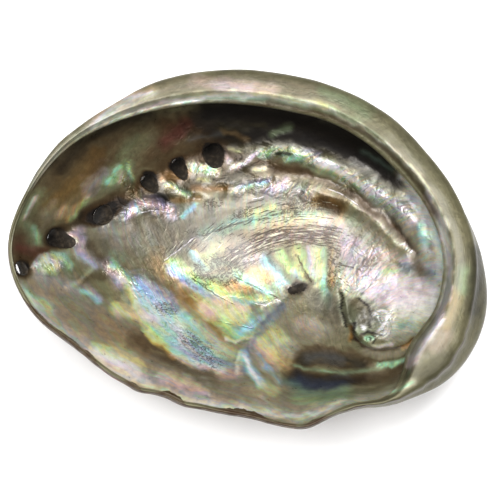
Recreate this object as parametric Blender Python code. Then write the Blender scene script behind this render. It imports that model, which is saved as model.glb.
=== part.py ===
"""Abalone shell lying on its back with the pearly inside up. One closed solid, in metres, +Z up.

The shell is lofted from upright profiles taken all the way round the middle of its bowl. Each profile
runs from the bowl's middle up the wall, round the shelf, over the rim and back under to the middle.
Relief that belongs to the shell's growth is then laid on both faces: the channel and ridge of the
breathing holes, the coil and the folds. Sizes are in millimetres and azimuths in degrees,
anticlockwise from +X as seen from above.
"""

import math

import bmesh
import bpy
import numpy as np
from mathutils import Matrix, Vector

MM = 0.001
COLLECTION = "abalone_shell"
CUTTERS = "cutters"
NODE = "shell"

# Driving sizes of the bowl, measured down from the plane of the rim
BOWL_DEPTH = 33.0
FLOOR_THICKNESS = 3.0
DEEPEST = (16.0, 8.0)
DEEPEST_EXTRA = 2.0
DEEPEST_REACH = 30.0

# Stations round the bowl, every 15 degrees from +X
RIM_RADIUS = (
    70.9, 68.0, 64.7, 63.0, 61.3, 60.0, 60.1, 61.7, 63.9, 66.0, 70.2, 73.2,
    75.6, 70.8, 62.0, 57.6, 53.1, 51.9, 52.6, 57.4, 58.4, 65.8, 71.2, 71.6,
)  # fmt: skip
SHELF_WIDTH = (
    9.5, 9.7, 10.1, 10.5, 10.5, 10.8, 10.5, 9.8, 8.3, 4.8, 2.7, 1.3,
    0.0, 0.0, 0.0, 0.0, 0.0, 0.0, 0.0, 0.0, 0.0, 2.0, 13.0, 10.2,
)  # fmt: skip
EDGE_DROP = (
    5.0, 3.5, 3.0, 3.0, 3.0, 3.0, 3.0, 2.8, 2.5, 2.0, 1.4, 0.8,
    0.3, 0.3, 0.3, 0.3, 0.3, 0.3, 0.3, 0.3, 0.6, 4.0, 12.0, 8.0,
)  # fmt: skip
WALL_INSET = (
    6.5, 4.3, 3.1, 3.0, 2.9, 2.9, 2.7, 2.5, 2.3, 1.8, 1.5, 1.3,
    1.2, 1.2, 1.2, 1.2, 1.2, 1.2, 1.2, 1.2, 1.3, 3.4, 11.8, 8.7,
)  # fmt: skip
WALL_DEPTH = (
    15.0, 13.0, 11.5, 11.0, 11.0, 11.0, 11.0, 10.0, 8.5, 5.5, 3.0, 1.4,
    0.5, 0.4, 0.4, 0.4, 0.4, 0.4, 0.4, 0.4, 0.8, 6.0, 17.0, 16.0,
)  # fmt: skip
FLANK_SWELL = (
    2.8, 0.9, 0.9, 0.9, 0.9, 0.9, 0.8, 0.7, 0.5, 0.3, 0.0, 0.0,
    0.0, 0.0, 0.0, 0.0, 0.0, 0.0, 0.0, 0.0, 0.0, 0.3, 2.8, 5.0,
)  # fmt: skip
FLANK_DEPTH = (
    12.0, 10.0, 9.0, 8.0, 8.0, 8.0, 8.0, 8.0, 7.0, 5.0, 3.2, 2.4,
    2.1, 2.1, 2.1, 2.1, 2.1, 2.1, 2.1, 2.1, 2.6, 6.0, 12.0, 12.0,
)  # fmt: skip

# Stations every 30 degrees: how flat the floor stays, and how the wall meets the rim (below 1 is
# upright, above 1 flares out)
FLOOR_POWER = (2.7, 2.8, 2.9, 2.9, 2.7, 2.5, 2.4, 2.2, 2.1, 2.1, 2.3, 2.6)
EDGE_POWER = (0.68, 0.66, 0.66, 0.66, 0.74, 0.88, 1.0, 1.2, 1.3, 1.3, 1.15, 0.8)

# Section of the rim and the shelf
CREST_INSET = 0.78
LEAST_CREST = 0.5
EDGE_THICKNESS = 1.7
LEAST_EDGE = 0.25
LIP_ROLL = 0.94
RIM_ROLL = 2.6
SHELF_FULL_WIDTH = 6.0

# Small lobes and dents of the growing lip: azimuth, half width, reach
LIP_LOBES = ((232.0, 3.5, 0.8), (247.0, 4.0, 0.7), (288.0, 5.0, 0.6), (305.0, 4.0, -0.5))

# The coil: its middle in plan and the rate at which a spiral about it opens
COIL = (37.5, -22.7)
SPIRAL_RATE = 0.54
HOLE_SPIRAL = 3.10
HOLE_SPIRAL_SWAY = (0.09, 117.0, 22.0)

# Breathing holes: place in plan and radius, youngest first
HOLES = (
    ((-71.4, -4.6), 2.1),
    ((-62.1, 7.2), 2.5),
    ((-48.1, 17.6), 2.4),
    ((-32.9, 29.4), 2.2),
    ((-23.8, 35.3), 2.2),
    ((-12.3, 40.7), 2.4),
)
CLOSED_HOLE_AZIMUTHS = range(119, 20, -8)
ROW_FADE_TURNS = (15.0, 45.0)
CUTTER_REACH = 9.0
CUTTER_SIDES = 14

# Rest: the shell tips a little to its balance point and is worn flat there
REST_ROLL = -4.4
REST_PITCH = -0.2
WORN_FLAT = 0.5

# Mesh: columns round the bowl and rows along each stretch of a profile
COLUMNS = 90
FLOOR_ROWS, UNDER_ROWS, EDGE_ROWS, TOP_ROWS, FLANK_ROWS, BACK_ROWS = 20, 5, 2, 6, 3, 18
ROWS = FLOOR_ROWS + UNDER_ROWS + EDGE_ROWS + TOP_ROWS + FLANK_ROWS + BACK_ROWS
FINE_STEPS = 60


def around(stations, azimuth):
    """Value at an azimuth in degrees, from equal stations joined by a smooth closed curve."""
    values = np.asarray(stations, float)
    place = (np.asarray(azimuth, float) % 360.0) / 360.0 * len(values)
    first = np.floor(place).astype(int)
    t = place - first
    before, start, end, after = (values[(first + step) % len(values)] for step in (-1, 0, 1, 2))
    rise = (end - before) / 2
    fall = (after - start) / 2
    turn = 3 * (end - start) - 2 * rise - fall
    bend = 2 * (start - end) + rise + fall
    return start + t * (rise + t * (turn + t * bend))


def smooth_step(low, high, value):
    """0 below low, 1 above high, smooth between them."""
    t = np.clip((np.asarray(value, float) - low) / (high - low), 0.0, 1.0)
    return t * t * (3 - 2 * t)


def bump(distance, width):
    """A round hill, 1 at distance 0 and nearly 0 at twice its width."""
    return np.exp(-((np.asarray(distance, float) / width) ** 2))


def hill(distance, height, width):
    """Height of a round hill or hollow at a distance from its middle or its line."""
    return height * float(bump(distance, width))


def turn_between(azimuth, other):
    """Signed turn from one azimuth to another in degrees, from -180 to 180."""
    return (np.asarray(azimuth, float) - other + 180.0) % 360.0 - 180.0


def bezier(start, leave, arrive, end, steps=FINE_STEPS):
    """Points of a cubic curve from start to end, without its last point."""
    t = np.linspace(0.0, 1.0, steps, endpoint=False)[:, None]
    start, leave, arrive, end = (np.array(point, float) for point in (start, leave, arrive, end))
    return (
        (1 - t) ** 3 * start + 3 * (1 - t) ** 2 * t * leave + 3 * (1 - t) * t**2 * arrive + t**3 * end
    )


def bowl_curve(radius, wall_depth, floor_depth, floor_power, edge_power, steps=FINE_STEPS):
    """Profile of a bowl from its middle to its widest place, as radius and height."""
    u = np.linspace(0.0, math.pi / 2, steps)
    out = radius * np.sin(u) ** (2 / floor_power)
    height = -wall_depth - (floor_depth - wall_depth) * np.cos(u) ** (2 * edge_power)
    return np.stack([out, height], axis=1)


def evenly(points, rows):
    """The same line with its points spread evenly along it, rows stretches long."""
    lengths = np.concatenate([[0.0], np.cumsum(np.hypot(*np.diff(points, axis=0).T))])
    wanted = np.linspace(0.0, lengths[-1], rows + 1)
    return np.stack([np.interp(wanted, lengths, points[:, axis]) for axis in (0, 1)], axis=1)


def rim_radius(azimuth):
    """Reach of the rim from the bowl's middle, with the growing lip's lobes."""
    lobes = sum(reach * bump(turn_between(azimuth, at), width) for at, width, reach in LIP_LOBES)
    return float(around(RIM_RADIUS, azimuth) + lobes)


def profile(azimuth):
    """The upright section at an azimuth: (ROWS + 1) pairs of radius and height, and their outward normals."""
    rim = rim_radius(azimuth)
    shelf = max(float(around(SHELF_WIDTH, azimuth)), 0.0)
    full = float(smooth_step(0.0, SHELF_FULL_WIDTH, shelf))
    drop = float(around(EDGE_DROP, azimuth))
    wall = rim - float(around(WALL_INSET, azimuth))
    wall_depth = max(float(around(WALL_DEPTH, azimuth)), drop + 0.1)
    swell = rim + float(around(FLANK_SWELL, azimuth))
    flank_depth = float(around(FLANK_DEPTH, azimuth))
    powers = float(around(FLOOR_POWER, azimuth)), float(around(EDGE_POWER, azimuth))

    edge = min(rim - shelf, wall)
    thickness = LEAST_EDGE + (EDGE_THICKNESS - LEAST_EDGE) * full
    under = min(-drop - thickness, -wall_depth * 0.02)
    under = max(under, -wall_depth)
    crest = rim - max(shelf * CREST_INSET, LEAST_CREST)
    roll = -(LIP_ROLL + (RIM_ROLL - LIP_ROLL) * full)

    floor = bowl_curve(wall, wall_depth, BOWL_DEPTH, *powers)
    rise = under + wall_depth
    corner = (edge + 0.5 * (wall - edge), under)
    beneath = bezier((wall, -wall_depth), (wall, -wall_depth + 0.7 * rise), corner, (edge, under))
    nose = edge - thickness * 0.8
    lip = bezier((edge, under), (nose, under), (nose, -drop), (edge, -drop))
    slope = crest - edge
    climb = bezier((edge, -drop), (edge + 0.4 * slope, -drop), (crest - 0.3 * slope, 0), (crest, 0))
    shoulder = bezier((crest, 0), (crest + 0.6 * (rim - crest), 0), (rim, roll * 0.3), (rim, roll))
    top = np.concatenate([climb, shoulder])
    back = bowl_curve(swell, flank_depth, BOWL_DEPTH + FLOOR_THICKNESS, *powers)[::-1]
    arrive = back[0] + (back[0] - back[1]) / np.linalg.norm(back[0] - back[1]) * 0.4 * (flank_depth + roll)
    flank = bezier((rim, roll), (rim, 0.5 * (roll - flank_depth)), arrive, back[0])

    stretches = (
        (floor, floor[-1], FLOOR_ROWS),
        (beneath, (edge, under), UNDER_ROWS),
        (lip, (edge, -drop), EDGE_ROWS),
        (top, (rim, roll), TOP_ROWS),
        (flank, (swell, -flank_depth), FLANK_ROWS),
    )
    rows = [evenly(np.vstack([points, end]), count)[:-1] for points, end, count in stretches]
    rows.append(evenly(back, BACK_ROWS))
    line = np.concatenate(rows)

    along = np.gradient(line, axis=0)
    normal = np.stack([-along[:, 1], along[:, 0]], axis=1)
    normal /= np.maximum(np.linalg.norm(normal, axis=1, keepdims=True), 1e-9)
    return line, normal


def row_start(azimuth):
    """Where the spiral of the holes starts, as the log of its radius about the coil at azimuth 0."""
    sway, sway_at, sway_width = HOLE_SPIRAL_SWAY
    return HOLE_SPIRAL + sway * float(bump(turn_between(azimuth, sway_at), sway_width))


def on_hole_row(azimuth):
    """Place in plan on the row of holes at an azimuth about the coil."""
    turn = math.radians(azimuth)
    radius = math.exp(row_start(azimuth) + SPIRAL_RATE * turn)
    return COIL[0] + radius * math.cos(turn), COIL[1] + radius * math.sin(turn)


def hole_row_offset(x, y):
    """Distance in mm from the row of holes, plus towards the shelf, and the azimuth about the coil."""
    dx, dy = x - COIL[0], y - COIL[1]
    radius = math.hypot(dx, dy) + 1e-6
    azimuth = math.degrees(math.atan2(dy, dx))
    offset = math.log(radius) - SPIRAL_RATE * math.radians(azimuth) - row_start(azimuth)
    return offset * radius, azimuth


def hole_row_strength(azimuth):
    """1 along the row of holes, fading out towards the coil."""
    return float(smooth_step(*ROW_FADE_TURNS, azimuth))


def segment_distance(x, y, points):
    """Distance to a line through points in plan, with its side: plus on the left going along it."""
    best, side = 1e9, 1.0
    for (ax, ay), (bx, by) in zip(points, points[1:]):
        dx, dy = bx - ax, by - ay
        t = min(max(((x - ax) * dx + (y - ay) * dy) / (dx * dx + dy * dy), 0.0), 1.0)
        gap = math.hypot(x - ax - t * dx, y - ay - t * dy)
        if gap < best:
            best, side = gap, math.copysign(1.0, dx * (y - ay) - dy * (x - ax))
    return best, side


# Forms on the floor of the bowl, as lines in plan
LEDGE = ((-66.0, 0.0), (-58.0, 8.0), (-48.0, 16.0), (-38.0, 21.8), (-26.0, 24.5), (-12.0, 29.0), (0.0, 31.0))
COIL_STEP = ((29.8, -6.0), (30.7, -12.0), (31.4, -16.0), (33.2, -20.0), (36.4, -24.2), (40.0, -26.8), (48.0, -26.8))
CALLUS_RIDGE = ((22.0, -22.6), (30.8, -25.4), (35.2, -29.0), (38.6, -32.0), (43.0, -33.0), (50.0, -31.8))
VALLEY = ((12.6, -39.0), (25.0, -41.5), (37.7, -40.5), (47.7, -38.1))
FOLD = ((8.8, -11.7), (2.6, -18.4), (-1.9, -25.5), (-4.3, -34.0), (-1.9, -41.1), (2.2, -44.5))
INNER_RIDGE = ((20.0, 28.6), (30.8, 24.8), (38.0, 20.4), (43.8, 14.4), (51.9, 6.1))
INNER_GROOVE = ((10.0, 34.0), (20.0, 33.0), (33.0, 28.6), (43.5, 20.4), (54.0, 6.0))
COIL_DOME = (34.8, -15.6)
PIT = (15.1, -5.0)

# Their heights (hollows are below 0) and half widths
RIDGES = ((CALLUS_RIDGE, 1.6, 3.2), (VALLEY, -2.2, 5.0), (INNER_RIDGE, 1.2, 2.6), (INNER_GROOVE, -1.0, 3.0))
STEPS = ((FOLD, 1.1, 9.0, 1.0), (LEDGE, 1.2, 7.0, -1.0))
STEP_HALF_WIDTH = 1.4
COIL_CUP = (-2.8, 10.0)
COIL_STEP_LIFT = (1.4, 5.0)
COIL_STEP_HALF_WIDTH = 0.9
DOME_LIFT = (1.6, 2.8)
DOME_STRETCH = 0.6
PIT_HOLLOW = (-1.5, 1.8)
HOLE_DIMPLE = -0.7
HOLE_DIMPLE_SPREAD = 1.5

# The row of holes: a channel while they are open, a swelling with a hollow beside it once they are closed
CHANNEL_TURNS = (105.0, 128.0)
CHANNEL = (-1.7, 4.2)
SWELLING = (1.4, 3.6)
SWELLING_AT = -1.0
SWELLING_HOLLOW = (-1.2, 4.0)
SWELLING_HOLLOW_AT = 6.5

# The rough back: the keel and its knobs, the coil's dome with the whorl round it, and folds of growth
KEEL = (2.3, 4.6)
OPEN_KNOB = (1.0, 3.8)
CLOSED_KNOB = (1.5, 3.0)
COIL_LIFT = (5.2, 9.0)
WHORL_LIFT = (2.4, 11.0)
WHORL_AT = 15.0
FOLD_HEIGHT = 0.9
FOLD_RATE = 7.0
FOLD_SLANT = 0.6
FOLD_FROM = (14.0, 34.0)


def row_relief(x, y):
    """Height of the channel that holds the breathing holes, and of the swelling that follows it."""
    offset, azimuth = hole_row_offset(x, y)
    open_row = float(smooth_step(*CHANNEL_TURNS, azimuth))
    swelling = hill(offset - SWELLING_AT, *SWELLING) + hill(offset - SWELLING_HOLLOW_AT, *SWELLING_HOLLOW)
    return hole_row_strength(azimuth) * (open_row * hill(offset, *CHANNEL) + (1 - open_row) * swelling)


def inside_relief(x, y):
    """Height in mm laid on the pearly face at a place in plan."""
    height = row_relief(x, y)
    for (hole_x, hole_y), radius in HOLES:
        height += hill(math.hypot(x - hole_x, y - hole_y), HOLE_DIMPLE, radius * HOLE_DIMPLE_SPREAD)

    gap, side = segment_distance(x, y, COIL_STEP)
    in_cup = float(smooth_step(-COIL_STEP_HALF_WIDTH, COIL_STEP_HALF_WIDTH, side * gap))
    height += in_cup * hill(math.hypot(x - COIL[0], y - COIL[1]), *COIL_CUP)
    height += (1 - in_cup) * hill(gap, *COIL_STEP_LIFT)
    height += hill(math.hypot(x - COIL_DOME[0], (y - COIL_DOME[1]) * DOME_STRETCH), *DOME_LIFT)
    height += hill(math.hypot(x - PIT[0], y - PIT[1]), *PIT_HOLLOW)

    for line, lift, width in RIDGES:
        gap, _ = segment_distance(x, y, line)
        height += hill(gap, lift, width)
    for line, lift, reach, turn in STEPS:
        gap, side = segment_distance(x, y, line)
        raised = float(smooth_step(-STEP_HALF_WIDTH, STEP_HALF_WIDTH, turn * side * gap))
        height += raised * hill(gap, lift, reach)
    return height


def outside_relief(x, y):
    """Height in mm laid on the rough back at a place in plan."""
    offset, azimuth = hole_row_offset(x, y)
    height = hole_row_strength(azimuth) * hill(offset, *KEEL)
    for (hole_x, hole_y), _ in HOLES:
        height += hill(math.hypot(x - hole_x, y - hole_y), *OPEN_KNOB)
    for closed_azimuth in CLOSED_HOLE_AZIMUTHS:
        place = on_hole_row(closed_azimuth)
        height += hill(math.hypot(x - place[0], y - place[1]), *CLOSED_KNOB)

    dx, dy = x - COIL[0], y - COIL[1]
    radius = math.hypot(dx, dy) + 1e-6
    whorl = (math.log(radius) - SPIRAL_RATE * math.atan2(dy, dx)) / (2 * math.pi * SPIRAL_RATE)
    height += hill(radius, *COIL_LIFT)
    height += math.sin(math.pi * (whorl % 1.0)) ** 2 * hill(radius - WHORL_AT, *WHORL_LIFT)
    growth = FOLD_RATE * (math.log(radius) + FOLD_SLANT * math.atan2(dy, dx))
    return height + FOLD_HEIGHT * math.sin(growth) * float(smooth_step(*FOLD_FROM, radius))


def deepest_hollow(x, y):
    """How much lower the bowl lies about its deepest place, in mm."""
    return DEEPEST_EXTRA * float(bump(math.hypot(x - DEEPEST[0], y - DEEPEST[1]), DEEPEST_REACH))


def surface_point(line, normal, row, azimuth):
    """Place in mm of one row of a profile, with its relief."""
    cos, sin = math.cos(math.radians(azimuth)), math.sin(math.radians(azimuth))
    radius, height = line[row]
    x, y = radius * cos, radius * sin
    inner = row <= FLOOR_ROWS
    outer = row >= ROWS - BACK_ROWS
    lift = 0.0
    if inner:
        fade = float(smooth_step(FLOOR_ROWS, FLOOR_ROWS - 4, row))
        lift = inside_relief(x, y) * fade
    if outer:
        fade = float(smooth_step(ROWS - BACK_ROWS, ROWS - BACK_ROWS + 3, row))
        lift = outside_relief(x, y) * fade
    sink = deepest_hollow(x, y) if inner or outer else 0.0
    out = lift * normal[row][0]
    return Vector((x + out * cos, y + out * sin, height + lift * normal[row][1] - sink))


def resting_place(body):
    """The small turn to the shell's balance, with its worn flats on z = 0 and its middle over the origin."""
    roll, pitch = math.radians(REST_ROLL), math.radians(REST_PITCH)
    turn = Matrix.Rotation(roll, 4, "X") @ Matrix.Rotation(pitch, 4, "Y")
    places = np.array([turn @ vertex.co for vertex in body.verts])
    low, high = places.min(axis=0), places.max(axis=0)
    shift = (-(low[0] + high[0]) / 2, -(low[1] + high[1]) / 2, -low[2] - WORN_FLAT)
    return Matrix.Translation(shift) @ turn


def shell_mesh():
    """The whole shell as a bmesh in mm, and the matrix that lays it down where it rests."""
    body = bmesh.new()
    bmesh.ops.create_uvsphere(body, u_segments=COLUMNS, v_segments=ROWS, radius=1.0)
    sections = {}
    for vertex in body.verts:
        row = round(math.acos(max(-1.0, min(1.0, vertex.co.z))) / math.pi * ROWS)
        at_pole = row in (0, ROWS)
        turn = math.atan2(vertex.co.y, vertex.co.x) / (2 * math.pi)
        column = 0 if at_pole else round(turn * COLUMNS) % COLUMNS
        azimuth = column * 360.0 / COLUMNS
        if column not in sections:
            sections[column] = profile(azimuth)
        vertex.co = surface_point(*sections[column], row, azimuth)
        if at_pole:
            vertex.co.x = vertex.co.y = 0.0
    place = resting_place(body)
    bmesh.ops.transform(body, matrix=place, verts=body.verts)
    for vertex in body.verts:
        vertex.co.z = max(vertex.co.z, 0.0)
    return body, place


def hole_cutter(number, hole, place):
    """A cylinder through the wall at a breathing hole, square to the pearly face."""
    (x, y), radius = hole
    azimuth = math.degrees(math.atan2(y, x))
    line, normal = profile(azimuth)
    row = int(np.argmin(np.abs(line[: FLOOR_ROWS + 1, 0] - math.hypot(x, y))))
    middle = surface_point(line, normal, row, azimuth)
    out, up = normal[row]
    axis = Vector((out * math.cos(math.radians(azimuth)), out * math.sin(math.radians(azimuth)), up))
    cutter = bmesh.new()
    bmesh.ops.create_cone(
        cutter, cap_ends=True, segments=CUTTER_SIDES, radius1=radius, radius2=radius, depth=2 * CUTTER_REACH
    )
    turn = axis.to_track_quat("Z", "Y").to_matrix().to_4x4()
    bmesh.ops.transform(cutter, matrix=place @ Matrix.Translation(middle) @ turn, verts=cutter.verts)
    made = as_object(f"hole_cutter_{number}", cutter)
    made.hide_render = True
    made.display_type = "WIRE"
    return made


def as_object(name, body):
    """An object from a bmesh in mm, freed afterwards."""
    mesh = bpy.data.meshes.new(name)
    bmesh.ops.scale(body, vec=(MM, MM, MM), verts=body.verts)
    body.to_mesh(mesh)
    body.free()
    return bpy.data.objects.new(name, mesh)


def finish(name, colour, roughness, metallic):
    """A plain material."""
    material = bpy.data.materials.new(name)
    material.use_nodes = True
    shader = material.node_tree.nodes["Principled BSDF"]
    shader.inputs["Base Color"].default_value = (*colour, 1.0)
    shader.inputs["Roughness"].default_value = roughness
    shader.inputs["Metallic"].default_value = metallic
    return material


def collection(name):
    """A new collection in the scene."""
    made = bpy.data.collections.new(name)
    bpy.context.scene.collection.children.link(made)
    return made


def bore_holes(shell, cutters, place):
    """Cut every breathing hole through the shell."""
    for number, hole in enumerate(HOLES, start=1):
        cutter = hole_cutter(number, hole, place)
        cutters.objects.link(cutter)
        cut = shell.modifiers.new(f"hole_{number}", "BOOLEAN")
        cut.operation = "DIFFERENCE"
        cut.solver = "EXACT"
        cut.object = cutter


def main():
    for old in list(bpy.data.objects):
        bpy.data.objects.remove(old)
    shells, cutters = collection(COLLECTION), collection(CUTTERS)
    body, place = shell_mesh()
    shell = as_object(NODE, body)
    shells.objects.link(shell)
    shell.data.materials.append(finish("nacre", (0.62, 0.60, 0.52), 0.25, 0.3))
    shell.data.shade_smooth()
    bore_holes(shell, cutters, place)


main()
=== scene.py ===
"""Abalone shell lying on its back: the looks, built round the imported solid.

The shell is one piece. Its fine surface is lofted from the same upright sections as the solid, then gets
its growth relief, its breathing holes and its two finishes: the pearly inside and the rough back. Sizes in
the classes are millimetres and degrees, in the shell's own frame: the rim's plane is z = 0, +X runs
towards the coil's end, +Y towards the shelf, and the bowl's middle is the origin.
"""

import logging
import math
from collections.abc import Sequence
from dataclasses import dataclass, field, replace
from enum import Enum

import bmesh
import bpy
import numpy as np
from mathutils import Matrix, Vector
from mathutils.kdtree import KDTree

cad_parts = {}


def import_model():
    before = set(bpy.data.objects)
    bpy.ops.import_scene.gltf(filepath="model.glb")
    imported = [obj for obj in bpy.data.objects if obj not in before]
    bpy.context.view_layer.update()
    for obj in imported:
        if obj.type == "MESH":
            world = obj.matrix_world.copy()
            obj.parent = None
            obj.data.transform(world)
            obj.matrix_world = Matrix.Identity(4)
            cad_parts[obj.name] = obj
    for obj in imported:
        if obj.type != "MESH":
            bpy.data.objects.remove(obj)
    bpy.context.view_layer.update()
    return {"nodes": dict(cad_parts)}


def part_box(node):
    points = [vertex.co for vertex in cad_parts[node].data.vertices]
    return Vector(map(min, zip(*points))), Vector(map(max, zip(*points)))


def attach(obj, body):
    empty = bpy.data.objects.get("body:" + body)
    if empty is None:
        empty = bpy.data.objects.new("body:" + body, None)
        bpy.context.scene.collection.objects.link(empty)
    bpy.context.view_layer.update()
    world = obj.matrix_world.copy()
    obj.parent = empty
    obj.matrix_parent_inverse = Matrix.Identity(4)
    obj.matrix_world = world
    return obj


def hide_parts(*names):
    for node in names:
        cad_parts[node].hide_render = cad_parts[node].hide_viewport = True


log = logging.getLogger("abalone_shell")

MM = 0.001
FRAME_PX = 500.0
PIECE = "abalone_shell_nacre"
NODE = "shell"
BODY = "root"

FAR = 1e3

Array = np.ndarray
Socket = bpy.types.NodeSocket
Line = Sequence[tuple[float, float]]
# A low end and a high one, or a start and an end
Span = tuple[float, float]
# A hill's height and its width
Hill = tuple[float, float]


def smooth_step(low: float, high: float, value: Array) -> Array:
    """0 below low, 1 above high, smooth between them."""
    t = np.clip((np.asarray(value, float) - low) / (high - low), 0.0, 1.0)
    return t * t * (3 - 2 * t)


def hill(distance: Array, height: float, width: float) -> Array:
    """Height of a round hill or hollow at a distance from its middle or its line."""
    return height * np.exp(-((np.asarray(distance, float) / width) ** 2))


def around(stations: Sequence[float], azimuth: Array) -> Array:
    """Value at an azimuth, from equal stations joined by a smooth closed curve.

    Args:
        stations: Values at equal steps of azimuth, from 0 degrees on.
        azimuth: Azimuths in degrees.

    Returns:
        One value for each azimuth.
    """
    values = np.asarray(stations, float)
    place = (np.asarray(azimuth, float) % 360.0) / 360.0 * len(values)
    first = np.floor(place).astype(int)
    t = place - first
    before, start, end, after = (values[(first + step) % len(values)] for step in (-1, 0, 1, 2))
    rise = (end - before) / 2
    fall = (after - start) / 2
    turn = 3 * (end - start) - 2 * rise - fall
    bend = 2 * (start - end) + rise + fall
    return start + t * (rise + t * (turn + t * bend))


def to_light(seen: Array) -> Array:
    """A colour as the eye sees it, turned into light."""
    return np.where(seen <= 0.04045, seen / 12.92, ((seen + 0.055) / 1.055) ** 2.4)


def line_distance(x: Array, y: Array, line: Line) -> tuple[Array, Array]:
    """Distance to a line through points.

    Args:
        x: First coordinate of each place.
        y: Second coordinate of each place.
        line: The points it runs through.

    Returns:
        The distance with its side, plus on the left going along the line, and how far along it the nearest
        place lies, from 0 at its start to 1 at its end.
    """
    best = np.full(np.shape(x), 1e9)
    side = np.ones(np.shape(x))
    share = np.zeros(np.shape(x))
    lengths = [math.dist(a, b) for a, b in zip(line, line[1:])]
    start = 0.0
    for (a, b), length in zip(zip(line, line[1:]), lengths):
        dx, dy = b[0] - a[0], b[1] - a[1]
        t = np.clip(((x - a[0]) * dx + (y - a[1]) * dy) / max(length, 1e-6) ** 2, 0.0, 1.0)
        gap = np.hypot(x - a[0] - t * dx, y - a[1] - t * dy)
        nearer = gap < best
        best = np.where(nearer, gap, best)
        side = np.where(nearer, np.where(dx * (y - a[1]) - dy * (x - a[0]) >= 0, 1.0, -1.0), side)
        share = np.where(nearer, (start + t * length) / max(sum(lengths), 1e-6), share)
        start += length
    return best * side, share


def add(name: str, data: bpy.types.ID) -> bpy.types.Object:
    """A new object put in the scene."""
    made = bpy.data.objects.new(name, data)
    bpy.context.scene.collection.objects.link(made)
    return made


def to_mesh(shape: bmesh.types.BMesh, name: str) -> bpy.types.Mesh:
    """A mesh made from a shape, which is freed."""
    mesh = bpy.data.meshes.new(name)
    shape.to_mesh(mesh)
    shape.free()
    return mesh


@dataclass
class Grain:
    """Smooth noise on a plane, from -1 to 1, the same on every run."""

    seed: int
    size: int = 97
    lattice: Array = field(init=False)

    def __post_init__(self) -> None:
        """Draw the lattice."""
        self.lattice = np.random.default_rng(self.seed).uniform(-1.0, 1.0, (self.size, self.size))

    def corner(self, across: Array, down: Array) -> Array:
        """The lattice's value at a corner, with the lattice repeated for ever."""
        return self.lattice[across % self.size, down % self.size]

    def at(self, x: Array, y: Array, scale: float) -> Array:
        """Noise at places on the plane.

        Args:
            x: First coordinate of each place.
            y: Second coordinate of each place.
            scale: About how broad a grain is.

        Returns:
            One value for each place.
        """
        u, v = np.asarray(x, float) / scale, np.asarray(y, float) / scale
        i, j = np.floor(u).astype(int), np.floor(v).astype(int)
        a, b = u - i, v - j
        a, b = a * a * (3 - 2 * a), b * b * (3 - 2 * b)
        low = self.corner(i, j) * (1 - a) + self.corner(i + 1, j) * a
        high = self.corner(i, j + 1) * (1 - a) + self.corner(i + 1, j + 1) * a
        return low * (1 - b) + high * b


class Face(Enum):
    """Which part of the surface a mark lies on."""

    BOWL = "bowl"
    SHELF = "shelf"


class Tone(Enum):
    """The shell's colours, and the painted light and shade laid among them, as the eye sees them in soft
    white light.
    """

    # Near black: mostly painted shade, also the darkest cracks and lines
    SHADE = (0.08, 0.06, 0.045)
    UMBER = (0.26, 0.19, 0.12)
    MOSS = (0.33, 0.28, 0.20)
    OLIVE = (0.46, 0.44, 0.33)
    TAUPE = (0.56, 0.52, 0.44)
    SILVER = (0.65, 0.64, 0.60)
    RUST = (0.36, 0.16, 0.15)
    AMBER = (0.50, 0.34, 0.13)
    BRONZE = (0.60, 0.48, 0.32)
    GOLD = (0.82, 0.66, 0.38)
    ORANGE = (0.86, 0.68, 0.46)
    PEACH = (0.90, 0.77, 0.64)
    ROSE = (0.88, 0.75, 0.74)
    PINK = (0.92, 0.82, 0.87)
    # Near white: painted highlights and glints, also the palest nacre
    PEARL = (0.97, 0.94, 0.96)
    CREAM = (0.89, 0.88, 0.77)
    STRAW = (0.89, 0.89, 0.62)
    LIME = (0.75, 0.90, 0.55)
    MINT = (0.68, 0.88, 0.72)
    CYAN = (0.64, 0.88, 0.88)
    SKY = (0.62, 0.77, 0.90)
    PERIWINKLE = (0.66, 0.68, 0.88)
    LILAC = (0.76, 0.71, 0.81)
    SAGE = (0.52, 0.60, 0.45)
    SEA = (0.30, 0.46, 0.44)
    STEEL = (0.44, 0.46, 0.50)
    NAVY = (0.15, 0.18, 0.26)

    @property
    def linear(self) -> Array:
        """The same colour as light, for the shader."""
        return to_light(np.array(self.value))


class Detail(Enum):
    """Fine texture that the shader draws where a mark asks for it; GLINT is painted glints with painted shade
    in the hollows between them.
    """

    SCAR = 0
    # Painted highlights: thin bright glint lines, with painted shade in the hollows
    GLINT = 1
    PITTING = 2


class PaintedLight(Enum):
    """Painted shade (DARK) and painted light (LIGHT): a thin wash over what lies beneath, which keeps its
    hue.
    """

    DARK = 0.0
    LIGHT = 1.0


@dataclass(frozen=True)
class Mark:
    """A soft streak, placed as it lies in the photograph's 500 by 500 frame.

    Its width is half of its breadth in pixels. Several tones lie side by side along it, the first on the
    left-hand side going along the line in the picture. Where it is crisp, that share of its width is solid.
    """

    what: Tone | Detail | PaintedLight | tuple[Tone, ...]
    width: float
    line: Line
    strength: float = 0.85
    face: Face = Face.BOWL
    crisp: float = 0.0
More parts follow.
